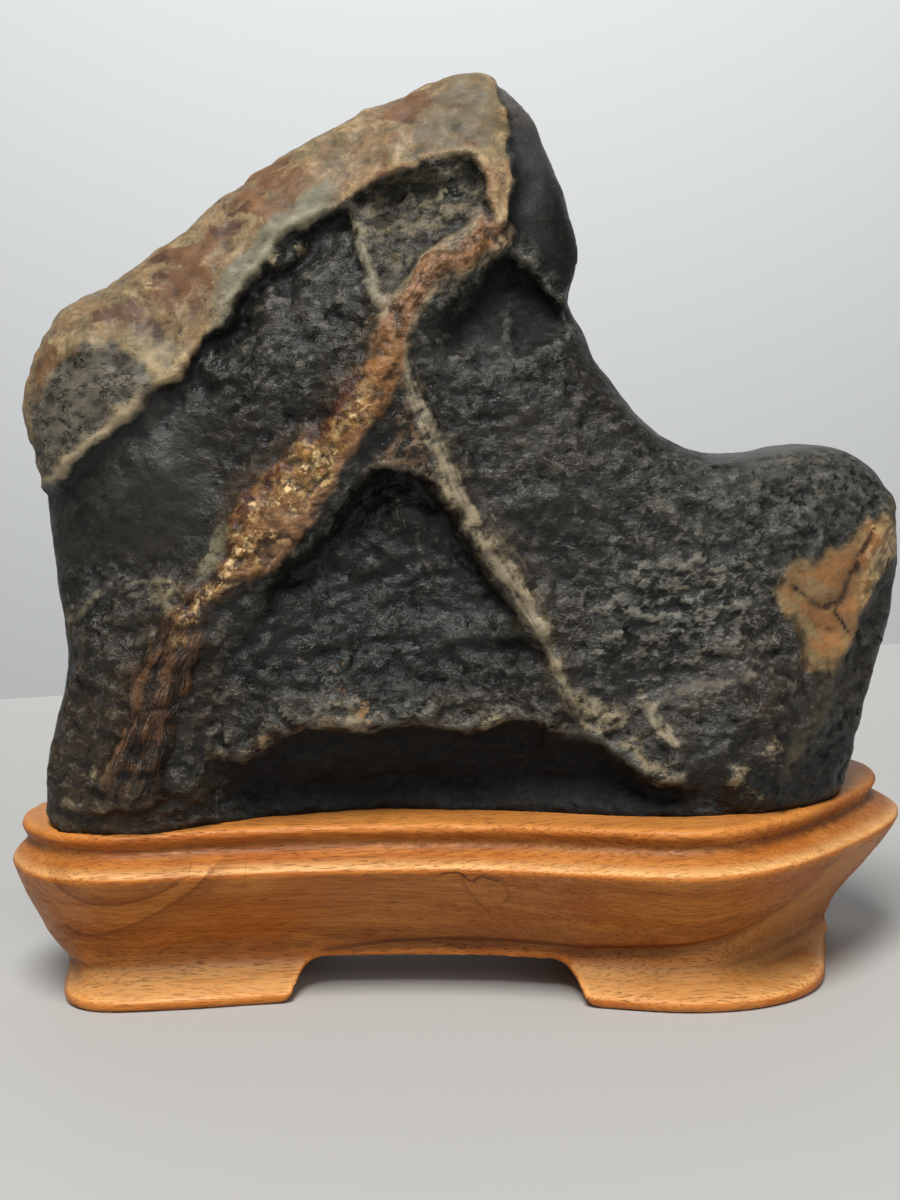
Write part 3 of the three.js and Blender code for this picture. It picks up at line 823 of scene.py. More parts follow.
def makeChips():  # flat facets that tilt at random, and a shade for each
    inputs = [("Place", "Vector"), ("Size", "Vector")]
    tree, given, result = newGroup("chips", inputs, [("Height", "Float"), ("Shade", "Float")])
    where = vectorWork(tree, "DIVIDE", given["Place"], given["Size"])
    facets = put(tree, "ShaderNodeTexVoronoi", {"Vector": where, "Scale": 1.0}).outputs
    offset = vectorWork(tree, "SUBTRACT", where, facets["Position"])
    tilt = vectorWork(tree, "SUBTRACT", facets["Color"], (0.5, 0.5, 0.5))
    height = put(tree, "ShaderNodeVectorMath", {0: offset, 1: tilt}, operation="DOT_PRODUCT").outputs["Value"]
    tree.links.new(height, result["Height"])
    tree.links.new(shadeOf(tree, facets["Color"], 1), result["Shade"])
    return tree


raggedEdge = makeRaggedEdge()
facetChips = makeChips()
shadeAndShineGroup = makeShadeAndShine()
strokeFlecks = makeFlecks()
print("shared shader groups ready")


def edgeMask(tree, place, distance, size=4.0, ragged=1.0, soft=0.6):
    links = {"Place": place, "Distance": distance, "Size": size, "Ragged": ragged, "Soft": soft}
    return putGroup(tree, raggedEdge, links)["Mask"]


def chipped(tree, place, size):  # the height and shade of the facets
    made = putGroup(tree, facetChips, {"Place": place, "Size": size})
    return made["Height"], made["Shade"]


def fleckMask(tree, place, stroke, low, high):
    return putGroup(tree, strokeFlecks, {"Place": place, "Stroke": stroke, "From": low, "To": high})["Mask"]


# painted shade in the hollows and painted highlight on the high spots
def paintShadeAndShine(tree, colour, relief, reach, paintedShade, shine):
    links = {"Colour": colour, "Relief": relief, "Reach": reach, "HollowShade": paintedShade, "Shine": shine}
    return putGroup(tree, shadeAndShineGroup, links)["Colour"]


def newMaterial(name):
    material = bpy.data.materials.new(name)
    material.use_nodes = True
    return material, material.node_tree, material.node_tree.nodes["Principled BSDF"]


# the stone's material

bandSize = (15.0, 170.0)  # width and length of the rusty band, in millimetres
veinLength = 128.0

stoneColours = {
    "dark": (0.0040, 0.0047, 0.0033),
    "middle": (0.0165, 0.0175, 0.0135),
    "mauve": (0.020, 0.0148, 0.0115),
    # painted shade over the sunk triangle
    "sunk": (0.0038, 0.0052, 0.0034),
    "brownish": (0.027, 0.0170, 0.0086),
    # pale grey for painted sheen and highlights: lobe top, lit chips, low shelf
    "paleSheen": (0.056, 0.057, 0.051),
    "fleck": (0.140, 0.133, 0.108),
    # dark of the crevices, also used for the painted shadow under the crust
    "crevice": (0.0028, 0.0026, 0.0020),
    "rusty": (0.046, 0.025, 0.010),
    "apex": (0.084, 0.046, 0.021),
    "crustKhaki": (0.125, 0.093, 0.048),
    "crustTan": (0.157, 0.098, 0.047),
    "crustPale": (0.235, 0.174, 0.094),
    "crustRust": (0.110, 0.048, 0.019),
    "crustPurple": (0.056, 0.026, 0.016),
    "crustOlive": (0.088, 0.072, 0.043),
    "crustYellow": (0.200, 0.158, 0.085),
    "crustGreen": (0.130, 0.125, 0.088),
    "greyArea": (0.105, 0.093, 0.070),
    "paleBorder": (0.20, 0.165, 0.105),
    "bandRed": (0.035, 0.009, 0.004),
    "bandBrown": (0.062, 0.030, 0.010),
    "bandOrange": (0.155, 0.070, 0.021),
    "bandPink": (0.165, 0.088, 0.045),
    "gold": (0.23, 0.125, 0.036),
    "goldPale": (0.50, 0.36, 0.17),
    "strand": (0.078, 0.038, 0.017),
    "strandGap": (0.022, 0.012, 0.006),
    "vein": (0.058, 0.046, 0.025),
    "veinPale": (0.190, 0.160, 0.104),
    "veinGreen": (0.125, 0.118, 0.080),
    "halo": (0.030, 0.0205, 0.0115),
    "palePatch": (0.15, 0.122, 0.073),
    "wedge": (0.125, 0.110, 0.066),
    "lobeOrange": (0.275, 0.128, 0.044),
    "lobeYellow": (0.215, 0.148, 0.068),
    "greyDark": (0.040, 0.036, 0.028),
    "crestOlive": (0.060, 0.047, 0.024),
    "beak": (0.034, 0.033, 0.036),
    "beakPale": (0.075, 0.068, 0.060),
    # painted shade for the undercut and for the recess under the beak
    "recess": (0.0026, 0.0034, 0.0038),
    "panelDark": (0.028, 0.024, 0.016),
    "panelPale": (0.086, 0.073, 0.044),
    "cavityLump": (0.105, 0.092, 0.058),
}


def groundColour(tree, at):  # dark ground: chipped facets, flecks, scratches and crevices on the rough panels
    c, place = stoneColours, at["place"]
    rough = at["rough"]
    soft = grain(tree, place, (7, 7, 5), 5, 0.62)
    byChip = times(tree, minus(tree, at["chipShade"], 0.5), rough, 0.35)
    colour = mixColour(tree, ease(tree, plus(tree, soft, byChip), 0.34, 0.66), c["dark"], c["middle"])
    tint = ease(tree, grain(tree, place, 24, 3), 0.42, 0.6)
    colour = mixColour(tree, times(tree, tint, 0.5), colour, c["mauve"])
    brown = times(tree, ease(tree, grain(tree, place, 20, 3), 0.4, 0.6), ease(tree, at["z"], 100.0, 60.0))
    lowLeft = times(tree, ease(tree, at["z"], 102.0, 90.0), ease(tree, at["x"], -42.0, -62.0))
    brown = plus(tree, times(tree, brown, 0.6), times(tree, lowLeft, ease(tree, soft, 0.36, 0.56), 0.4))
    colour = mixColour(tree, brown, colour, c["brownish"])

    # painted shade over the sunk triangle under the arch
    sunk = ease(tree, field(tree, "triangle"), -1.0, 3.0)
    colour = mixColour(tree, times(tree, sunk, 0.95), colour, c["sunk"])
    besideBand = times(tree, ease(tree, field(tree, "band"), -7.0, 0.5),
                       ease(tree, at["bandAcross"], 0.6, 0.4))
    colour = mixColour(tree, times(tree, besideBand, 0.7), colour, c["rusty"])
    halo = times(tree, ease(tree, field(tree, "vein"), -5.5, 0.0), ease(tree, at["fine"], 0.36, 0.56),
                 ease(tree, at["veinAlong"], 0.28, 0.36))
    colour = mixColour(tree, times(tree, halo, 0.75), colour, c["halo"])
    apexShade = ease(tree, plus(tree, at["fine"], byChip), 0.34, 0.58)
    colour = mixColour(tree, times(tree, field(tree, "apex"), apexShade, 0.95), colour, c["apex"])

    # painted sheen over the top of the lobe and the saddle
    lobeTopSheen = field(tree, "lobeTopSheen")
    colour = mixColour(tree, times(tree, lobeTopSheen, ease(tree, at["fine"], 0.40, 0.56), 0.85), colour, c["paleSheen"])
    scratched = field(tree, "scratched")
    where = plus(tree, times(tree, grain(tree, place, 15, 3), 0.6), times(tree, lobeTopSheen, 0.1), at["relief"],
                 times(tree, scratched, 0.3))
    speck = plus(tree, grain(tree, place, (1.5, 1.5, 0.8), 4, 0.72), times(tree, where, 0.33),
                 times(tree, minus(tree, at["chipShade"], 0.5), 0.20))
    notSunk = opposite(tree, times(tree, sunk, 0.92))
    raised = plus(tree, at["fine"], byChip, times(tree, at["relief"], 0.4))
    lit = times(tree, scratched, rough, ease(tree, raised, 0.42, 0.62))
    colour = mixColour(tree, times(tree, lit, 0.35), colour, c["paleSheen"])
    specks = times(tree, ease(tree, speck, 0.66, 0.80), rough, notSunk,
                   plus(tree, 0.4, times(tree, scratched, 0.6)))
    colour = mixColour(tree, times(tree, specks, 0.6), colour, c["fleck"])
    wander = grain(tree, place, (8, 8, 5), 4, 0.6)
    line = ease(tree, apart(tree, wander, 0.5), 0.010, 0.003)
    here = plus(tree, grain(tree, place, 11, 2), times(tree, scratched, 0.1))
    lineHere = times(tree, line, rough, ease(tree, here, 0.56, 0.64))
    colour = mixColour(tree, times(tree, lineHere, 0.6), colour, c["fleck"])
    colour = mixColour(tree, times(tree, at["crevice"], 0.85), colour, c["crevice"])
    # painted shadow under the overhanging lower edge of the crust
    besideCrust = plus(tree, field(tree, "crust"), times(tree, at["fine"], 5.0))
    shadowUnderCrust = times(tree, ease(tree, besideCrust, -3.5, 0.5), ease(tree, at["x"], -66.0, -56.0),
                       ease(tree, at["x"], -14.0, -26.0))
    colour = mixColour(tree, times(tree, shadowUnderCrust, 0.85), colour, c["crevice"])
    # darker towards the bottom right, in the same near-black colour
    lowRight = times(tree, ease(tree, at["z"], 64.0, 50.0), ease(tree, at["x"], 25.0, 45.0))
    colour = mixColour(tree, times(tree, lowRight, 0.8), colour, c["recess"])

    beak = edgeMask(tree, place, field(tree, "beak"), 3, 0.4, 0.8)
    lowOnBeak = ease(tree, plus(tree, at["z"], times(tree, grain(tree, place, 9, 3), 30.0)), 196.0, 218.0)
    beakColour = mixColour(tree, lowOnBeak, c["dark"], c["beak"])
    beakColour = mixColour(tree, ease(tree, at["z"], 199.0, 210.0, 0.0, 0.9), beakColour, c["beakPale"])
    colour = mixColour(tree, times(tree, beak, 0.85), colour, beakColour)

    smallPanel = edgeMask(tree, place, field(tree, "smallPanel"), 3, 0.4, 0.8)
    patch = plus(tree, times(tree, grain(tree, place, (5, 5, 4), 4, 0.55), 0.8), times(tree, byChip, 0.3))
    panelColour = mixColour(tree, ease(tree, patch, 0.34, 0.46), c["panelDark"], c["panelPale"])
    gaps = times(tree, ease(tree, at["fine"], 0.44, 0.34), 0.8)
    panelColour = mixColour(tree, gaps, panelColour, c["crevice"])
    colour = mixColour(tree, smallPanel, colour, panelColour)
    cavity = edgeMask(tree, place, field(tree, "cavity"), 2.5, 0.9, 0.9)
    lumps = ease(tree, grain(tree, place, 3.6, 4, 0.65), 0.37, 0.50)
    return mixColour(tree, cavity, colour, mixColour(tree, lumps, c["dark"], c["cavityLump"]))


def crustColour(tree, at):  # khaki and tan, clouds of rust, purple and olive, a pale or green border
    c, place, x = stoneColours, at["place"], at["x"]
    depth = field(tree, "crust")
    drifting = warped(tree, place, 14, 6)
    swirls = grain(tree, drifting, (6, 6, 5), 5, 0.62)
    mottle = grain(tree, warped(tree, place, 4, 1.5), (2.6, 2.6, 2.2), 5, 0.66)
    both = plus(tree, times(tree, swirls, 0.55), times(tree, mottle, 0.45))
    big = grain(tree, drifting, (15, 15, 10), 3, 0.5)
    middle = times(tree, ease(tree, depth, 3.0, 9.0), ease(tree, depth, 24.0, 15.0))
    tan = ease(tree, plus(tree, big, times(tree, middle, 0.06)), 0.44, 0.58)
    colour = mixColour(tree, tan, c["crustKhaki"], c["crustTan"])
    colour = mixColour(tree, times(tree, ease(tree, both, 0.50, 0.58), 0.85), colour, c["crustPale"])
    colour = mixColour(tree, times(tree, ease(tree, mottle, 0.46, 0.36), 0.55), colour, c["crustOlive"])
    creamy = grain(tree, warped(tree, place, 7, 4), (5, 5, 3.4), 5, 0.64)
    creamy = ease(tree, apart(tree, creamy, 0.5), 0.035, 0.005)
    colour = mixColour(tree, times(tree, creamy, 0.45), colour, c["crustPale"])
    cloud = grain(tree, drifting, (7, 7, 5.5), 4, 0.62)
    cloudKinds = (("oliveCloud", "crustOlive", 0.40, 0.66), ("yellowCloud", "crustYellow", 0.35, 0.60),
                  ("rustCloud", "crustRust", 0.32, 0.60), ("purpleCloud", "crustPurple", 0.27, 0.66))
    for name, shade, reach, low in cloudKinds:
        here = plus(tree, cloud, times(tree, field(tree, name), reach), times(tree, mottle, 0.15))
        colour = mixColour(tree, times(tree, ease(tree, here, low + 0.07, low + 0.19), 0.8), colour, c[shade])
    greenStrip = times(tree, ease(tree, plus(tree, depth, times(tree, swirls, 5.0)), 9.2, 7.0),
                       ease(tree, x, -57.0, -50.0), ease(tree, x, -22.0, -28.0))
    colour = mixColour(tree, times(tree, greenStrip, 0.85), colour, c["crustGreen"])

    grey = edgeMask(tree, place, field(tree, "greyArea"), 5, 1.6, 1.4)
    greyShade = plus(tree, times(tree, grain(tree, place, (4, 4, 2.2), 5, 0.65), 0.8),
                     times(tree, at["chipShade"], 0.2))
    greyColour = mixColour(tree, ease(tree, greyShade, 0.30, 0.62), c["greyDark"], c["greyArea"])
    crack = grain(tree, place, (9, 9, 5), 4, 0.6)
    crack = ease(tree, apart(tree, crack, 0.49), 0.016, 0.004)
    greyColour = mixColour(tree, times(tree, crack, 0.9), greyColour, c["crevice"])
    colour = mixColour(tree, grey, colour, greyColour)
    nearEdge = plus(tree, depth, times(tree, both, 7.0))
    border = times(tree, ease(tree, nearEdge, 6.0, 4.6), ease(tree, x, -66.0, -74.0))
    colour = mixColour(tree, times(tree, border, 0.9), colour, c["paleBorder"])
    freckle = ease(tree, grain(tree, place, 1.2, 4, 0.65), 0.59, 0.67)
    colour = mixColour(tree, times(tree, freckle, 0.45), colour, c["crustPurple"])
    seam = grain(tree, place, (14, 14, 9), 4, 0.6)
    seam = times(tree, ease(tree, apart(tree, seam, 0.5), 0.008, 0.002),
                 ease(tree, grain(tree, place, 12, 2), 0.50, 0.56))
    return mixColour(tree, times(tree, seam, 0.7), colour, c["crustPurple"])


def placeOnBand(tree, across, along):
    width, length = bandSize
    return streakPlace(tree, times(tree, across, width), times(tree, along, length))


def bandColour(tree, at):  # dark red upper edge, golden crystals along the middle with painted glints and painted shade between them, strands at the foot
    c, place, along, across = stoneColours, at["place"], at["bandAlong"], at["bandAcross"]
    running = placeOnBand(tree, across, along)
    cloud = grain(tree, warped(tree, place, 5, 2), (5, 5, 4), 4, 0.6)
    colour = mixColour(tree, ease(tree, cloud, 0.38, 0.58), c["bandBrown"], c["bandOrange"])
    smoothEdge = times(tree, ease(tree, across, 0.55, 0.85), ease(tree, along, 0.28, 0.38),
                       ease(tree, along, 0.64, 0.56))
    colour = mixColour(tree, times(tree, smoothEdge, 0.8), colour, c["bandPink"])
    brownPart = times(tree, ease(tree, along, 0.57, 0.64), ease(tree, cloud, 0.62, 0.42, 0.6, 1.0))
    colour = mixColour(tree, brownPart, colour, c["strandGap"])
    redEdge = times(tree, ease(tree, across, 0.36, 0.12),
                    ease(tree, grain(tree, place, 4, 4, 0.6), 0.46, 0.56))
    colour = mixColour(tree, times(tree, redEdge, 0.9), colour, c["bandRed"])

    wander = plus(tree, across, times(tree, minus(tree, grain(tree, place, 9, 2), 0.5), 1.2))
    chain = times(tree, ease(tree, wander, 0.14, 0.42), ease(tree, wander, 0.86, 0.56),
                  ease(tree, along, 0.26, 0.34), ease(tree, along, 0.78, 0.71),
                  ease(tree, along, 0.57, 0.63, 1.0, 0.75))
    clump = times(tree, chain, ease(tree, grain(tree, place, 3.6, 4, 0.65), 0.42, 0.54))
    # gold crystals, with painted glints on some faces and painted shade in the gaps between them
    for size, most in ((0.9, 0.85), (1.9, 0.95)):
        crystal = cells(tree, place, size)
        shade = shadeOf(tree, crystal["Color"], 0)
        facet = mixColour(tree, ease(tree, shade, 0.55, 0.95), c["gold"], c["goldPale"])
        colour = mixColour(tree, times(tree, clump, ease(tree, shade, 0.35, 0.5), most), colour, facet)
        gap = times(tree, clump, ease(tree, crystal["Distance"], 0.5, 0.75), 0.6)
        colour = mixColour(tree, gap, colour, c["bandBrown"])

    strands = grain(tree, running, (3.6, 24, 1), 5, 0.64, 0.3)
    lower = ease(tree, plus(tree, along, times(tree, cloud, 0.1)), 0.72, 0.80)
    strandShade = plus(tree, times(tree, strands, 0.7), times(tree, grain(tree, place, 3, 5, 0.66), 0.3))
    strandColour = mixColour(tree, ease(tree, strandShade, 0.44, 0.55), c["strandGap"], c["strand"])
    split = ease(tree, apart(tree, strands, 0.47), 0.034, 0.006)
    strandColour = mixColour(tree, times(tree, split, 0.75), strandColour, c["crevice"])
    colour = mixColour(tree, times(tree, lower, opposite(tree, clump)), colour, strandColour)
    upper = ease(tree, plus(tree, along, times(tree, cloud, 0.1)), 0.34, 0.22)
    ridgeShade = plus(tree, times(tree, grain(tree, running, (2.2, 16, 1), 4, 0.6), 0.5),
                      times(tree, grain(tree, place, 2.4, 5, 0.66), 0.5))
    ridge = mixColour(tree, ease(tree, ridgeShade, 0.42, 0.56), c["bandBrown"], c["bandPink"])
    rim = apart(tree, across, 0.5)
    paleRim = times(tree, ease(tree, rim, 0.26, 0.42), ease(tree, ridgeShade, 0.40, 0.50), 0.75)
    ridge = mixColour(tree, paleRim, ridge, c["veinPale"])
    return mixColour(tree, upper, colour, ridge)


def veinColour(tree, at, strands):  # mottled pale olive, with long pale strands
    c, place = stoneColours, at["place"]
    mottle = grain(tree, place, (2.2, 2.2, 2.6), 5, 0.68)
    shade = plus(tree, times(tree, strands, 0.45), times(tree, mottle, 0.55))
    core = ease(tree, work(tree, "ABSOLUTE", field(tree, "veinSide")), 2.4, 0.4, 0.0, 0.12)
    colour = mixColour(tree, ease(tree, plus(tree, shade, core), 0.46, 0.62), c["vein"], c["veinPale"])
    colour = mixColour(tree, ease(tree, mottle, 0.42, 0.34, 0.0, 0.7), colour, c["halo"])
    return mixColour(tree, ease(tree, at["veinAlong"], 0.24, 0.14, 0.0, 0.8), colour, c["veinGreen"])


def lobeColour(tree, at):  # smooth orange with thin cracks, yellow crystals towards the rim
    c, place = stoneColours, at["place"]
    cloud = grain(tree, warped(tree, place, 6, 3), (7, 7, 6), 3, 0.5)
    colour = mixColour(tree, ease(tree, cloud, 0.42, 0.6), c["lobeOrange"], c["lobeYellow"])
    edge = ease(tree, field(tree, "lobePatch"), 4.0, 0.5)
    colour = mixColour(tree, times(tree, edge, 0.6), colour, c["lobeYellow"])
    mottle = ease(tree, grain(tree, place, (2.4, 2.4, 2), 5, 0.68), 0.50, 0.62)
    colour = mixColour(tree, times(tree, mottle, 0.5), colour, c["bandOrange"])
    nearRim = ease(tree, at["x"], 93.0, 99.0)
    shade = shadeOf(tree, cells(tree, place, 1.6)["Color"], 0)
    colour = mixColour(tree, times(tree, nearRim, ease(tree, shade, 0.5, 0.7), 0.8), colour, c["goldPale"])
    cracks = work(tree, "MINIMUM", field(tree, "lobeCrack"), field(tree, "lobeCrackLow"))
    wander = times(tree, minus(tree, grain(tree, place, 3, 3), 0.5), 2.2)
    cracks = plus(tree, cracks, wander)
    colour = mixColour(tree, ease(tree, cracks, 4.0, 0.5, 0.0, 0.5), colour, c["crustRust"])
    return mixColour(tree, times(tree, ease(tree, cracks, 0.5, 0.1), 0.8), colour, c["bandRed"])


def paleMarks(tree, at, colour):  # thin pale lines and patches on the dark ground
    c, place = stoneColours, at["place"]
    broken = grain(tree, place, (2.6, 2.6, 1.6), 5, 0.68)
    bothPatches = work(tree, "MAXIMUM", field(tree, "palePatch"), field(tree, "paleChip"))
    patch = edgeMask(tree, place, bothPatches, 4, 1.6, 1.2)
    colour = mixColour(tree, times(tree, patch, ease(tree, broken, 0.40, 0.54)), colour, c["palePatch"])
    gaps = ease(tree, grain(tree, place, 5, 4, 0.6), 0.36, 0.46)
    for name, width, much in (("secondStreak", 1.3, 0.8), ("paleLine", 0.7, 0.3), ("leftCrack", 0.5, 0.5),
                              ("scratch", 0.2, 0.6)):
        inside = minus(tree, width, field(tree, name))
        line = times(tree, edgeMask(tree, place, inside, 3.0, 0.45, 0.5), gaps)
        colour = mixColour(tree, times(tree, line, much), colour, c["veinPale"])
    corner = edgeMask(tree, place, field(tree, "leftCorner"), 3, 0.9, 1.0)
    colour = mixColour(tree, times(tree, corner, ease(tree, broken, 0.36, 0.54), 0.8), colour, c["palePatch"])
    crestNear = edgeMask(tree, place, minus(tree, 1.6, field(tree, "crest")), 5, 2.0, 1.8)
    colour = mixColour(tree, times(tree, crestNear, 0.6), colour, c["crestOlive"])
    wedge = edgeMask(tree, place, field(tree, "wedge"), 3, 0.8, 0.7)
    colour = mixColour(tree, times(tree, wedge, ease(tree, broken, 0.34, 0.48)), colour, c["wedge"])
    # painted highlight along the top of the low shelf
    shelf = ease(tree, plus(tree, field(tree, "lowShelf"), times(tree, broken, 3.0)), 3.6, 2.2)
    colour = mixColour(tree, times(tree, shelf, 0.6), colour, c["paleSheen"])
    backVein = plus(tree, field(tree, "backVein"), times(tree, broken, 4.0))
    colour = mixColour(tree, ease(tree, backVein, 7.0, 3.5, 0.0, 0.6), colour, c["rusty"])
    colour = mixColour(tree, ease(tree, backVein, 3.2, 2.3, 0.0, 0.7), colour, c["vein"])
    spots = ease(tree, plus(tree, field(tree, "spots"), times(tree, broken, 3.2)), 2.0, 2.5)
    inMiddle = times(tree, ease(tree, at["x"], -60.0, -48.0), ease(tree, at["x"], 0.0, -16.0),
                     ease(tree, at["z"], 90.0, 80.0))
    orange = times(tree, ease(tree, grain(tree, place, 8, 3), 0.46, 0.56), inMiddle, 0.55)
    spotColour = mixColour(tree, orange, c["palePatch"], c["lobeOrange"])
    return mixColour(tree, times(tree, spots, 0.85), colour, spotColour)


def stoneMaterial():
    c = stoneColours
    material, tree, shader = newMaterial("waterWornStone")
    place = placeInMm(tree)
    parts = put(tree, "ShaderNodeSeparateXYZ", {0: place})
    relief, hollow = field(tree, "relief"), field(tree, "hollow")
    facing = ease(tree, field(tree, "facing"), 0.0, 1.0, 0.3, 1.0)
    rough = times(tree, opposite(tree, field(tree, "smoothSide")), facing)
    fine = grain(tree, place, (2.4, 2.4, 2.0), 4, 0.66)
    deep = grain(tree, warped(tree, place, 6, 2), (4.6, 4.6, 1.2), 3, 0.6)
    crevice = times(tree, ease(tree, deep, 0.57, 0.66), rough,
                    plus(tree, 0.35, times(tree, field(tree, "scratched"), 0.6)))
    drifting = warped(tree, place, 4, 1.2)
    broadChips, _ = chipped(tree, drifting, (4.2, 4.2, 3.0))
    fineChips, chipShade = chipped(tree, drifting, (2.1, 2.1, 1.5))
    at = {"place": place, "x": parts.outputs["X"], "z": parts.outputs["Z"], "relief": relief, "rough": rough,
          "fine": fine, "crevice": crevice, "chipShade": chipShade, "bandAlong": field(tree, "bandAlong"),
          "bandAcross": field(tree, "bandAcross"), "veinAlong": field(tree, "veinAlong")}

    colour = paleMarks(tree, at, groundColour(tree, at))
    crust = edgeMask(tree, place, field(tree, "crust"), 5, 1.0, 0.6)
    notCrust = opposite(tree, crust)
    running = streakPlace(tree, field(tree, "veinSide"), times(tree, at["veinAlong"], veinLength))
    strands = grain(tree, running, (1.3, 24, 1), 4, 0.6)
    veinDepth = plus(tree, field(tree, "vein"), times(tree, minus(tree, strands, 0.5), 5.0),
                     times(tree, minus(tree, fine, 0.5), 5.0))
    patchy = ease(tree, grain(tree, place, (3.5, 3.5, 4.5), 4, 0.62), 0.28, 0.40)
    vein = times(tree, edgeMask(tree, place, veinDepth, 2.5, 0.9, 1.4), notCrust, patchy)
    colour = mixColour(tree, times(tree, vein, 0.88), colour, veinColour(tree, at, strands))
    band = edgeMask(tree, place, field(tree, "band"), 4, 1.3, 1.2)
    band = times(tree, band, ease(tree, at["bandAlong"], 1.0, 0.9))
    colour = mixColour(tree, times(tree, band, notCrust), colour, bandColour(tree, at))
    lobe = edgeMask(tree, place, field(tree, "lobePatch"), 4, 1.6, 2.0)
    colour = mixColour(tree, lobe, colour, lobeColour(tree, at))
    colour = mixColour(tree, crust, colour, crustColour(tree, at))

    # painted shade in the undercut and the recess, painted shade in the hollows, painted highlights on the
    # high spots
    under = work(tree, "MAXIMUM", field(tree, "under"), field(tree, "recess"))
    colour = mixColour(tree, times(tree, under, 0.93), colour, c["recess"])
    colour = paintShadeAndShine(tree, colour, hollow, 1.2, 0.5, 0.25)
    # the painted shade and highlight of the fine relief are held back along the triangle's rim
    sunkRim = ease(tree, work(tree, "ABSOLUTE", field(tree, "triangle")), 4.0, 1.0, 0.0, 0.85)
    colour = paintShadeAndShine(tree, colour, times(tree, relief, opposite(tree, sunkRim)), 0.22, 0.6, 0.4)
    tree.links.new(colour, shader.inputs["Base Color"])

    # gloss and fine relief
    shader.inputs["Specular IOR Level"].default_value = 0.30
    gloss = ease(tree, fine, 0.35, 0.65, 0.40, 0.58)
    gloss = plus(tree, gloss, times(tree, crust, 0.08), times(tree, under, 0.3))
    tree.links.new(gloss, shader.inputs["Roughness"])
    pits = grain(tree, place, (2.7, 2.7, 2.2), 4, 0.65)
    tiny = grain(tree, place, (0.9, 0.9, 0.7), 2, 0.6)
    onCrust, onBand, onVein, onLobe = [ease(tree, field(tree, name), -1.2, 1.2)
                                       for name in ("crust", "band", "vein", "lobePatch")]
    notSmooth = opposite(tree, times(tree, work(tree, "MAXIMUM", onLobe, onVein), 0.85))
    stony = times(tree, rough, field(tree, "uneven"), opposite(tree, onCrust), notSmooth,
                  plus(tree, 1.0, times(tree, field(tree, "scratched"), 0.7)))
    foot = ease(tree, at["bandAlong"], 0.66, 0.76)
    running = placeOnBand(tree, at["bandAcross"], at["bandAlong"])
    ridges = times(tree, grain(tree, running, (2.0, 16, 1), 3, 0.62), onBand, foot)
    crystals = times(tree, cells(tree, place, 1.9)["Distance"], onBand, minus(tree, foot, 1.0))
    height = plus(tree, times(tree, pits, plus(tree, 0.30, times(tree, stony, 0.45))),
                  times(tree, ridges, 2.2), times(tree, broadChips, stony, 1.35),
                  times(tree, fineChips, stony, 0.9),
                  times(tree, tiny, plus(tree, 0.07, times(tree, stony, 0.2))),
                  times(tree, crystals, 0.35), times(tree, strands, onVein, 0.3))
    bump = put(tree, "ShaderNodeBump", {"Height": height, "Distance": mm, "Strength": 1.0})
    tree.links.new(bump.outputs[0], shader.inputs["Normal"])
    return material


# the wood's material

woodLook = {
    "ringAxis": (-40, -230),  # y and z of the heart of the tree, in millimetres
    "ringGap": 9.0,
    # painted highlight for the tops of the ledge and toes
    "topHighlight": (0.63, 0.345, 0.125),
    "light": (0.46, 0.168, 0.031),
    "middle": (0.345, 0.105, 0.013),
    "reddish": (0.345, 0.088, 0.011),
    "yellowish": (0.47, 0.205, 0.050),
    "dark": (0.150, 0.038, 0.005),
    "pore": (0.085, 0.022, 0.004),
}


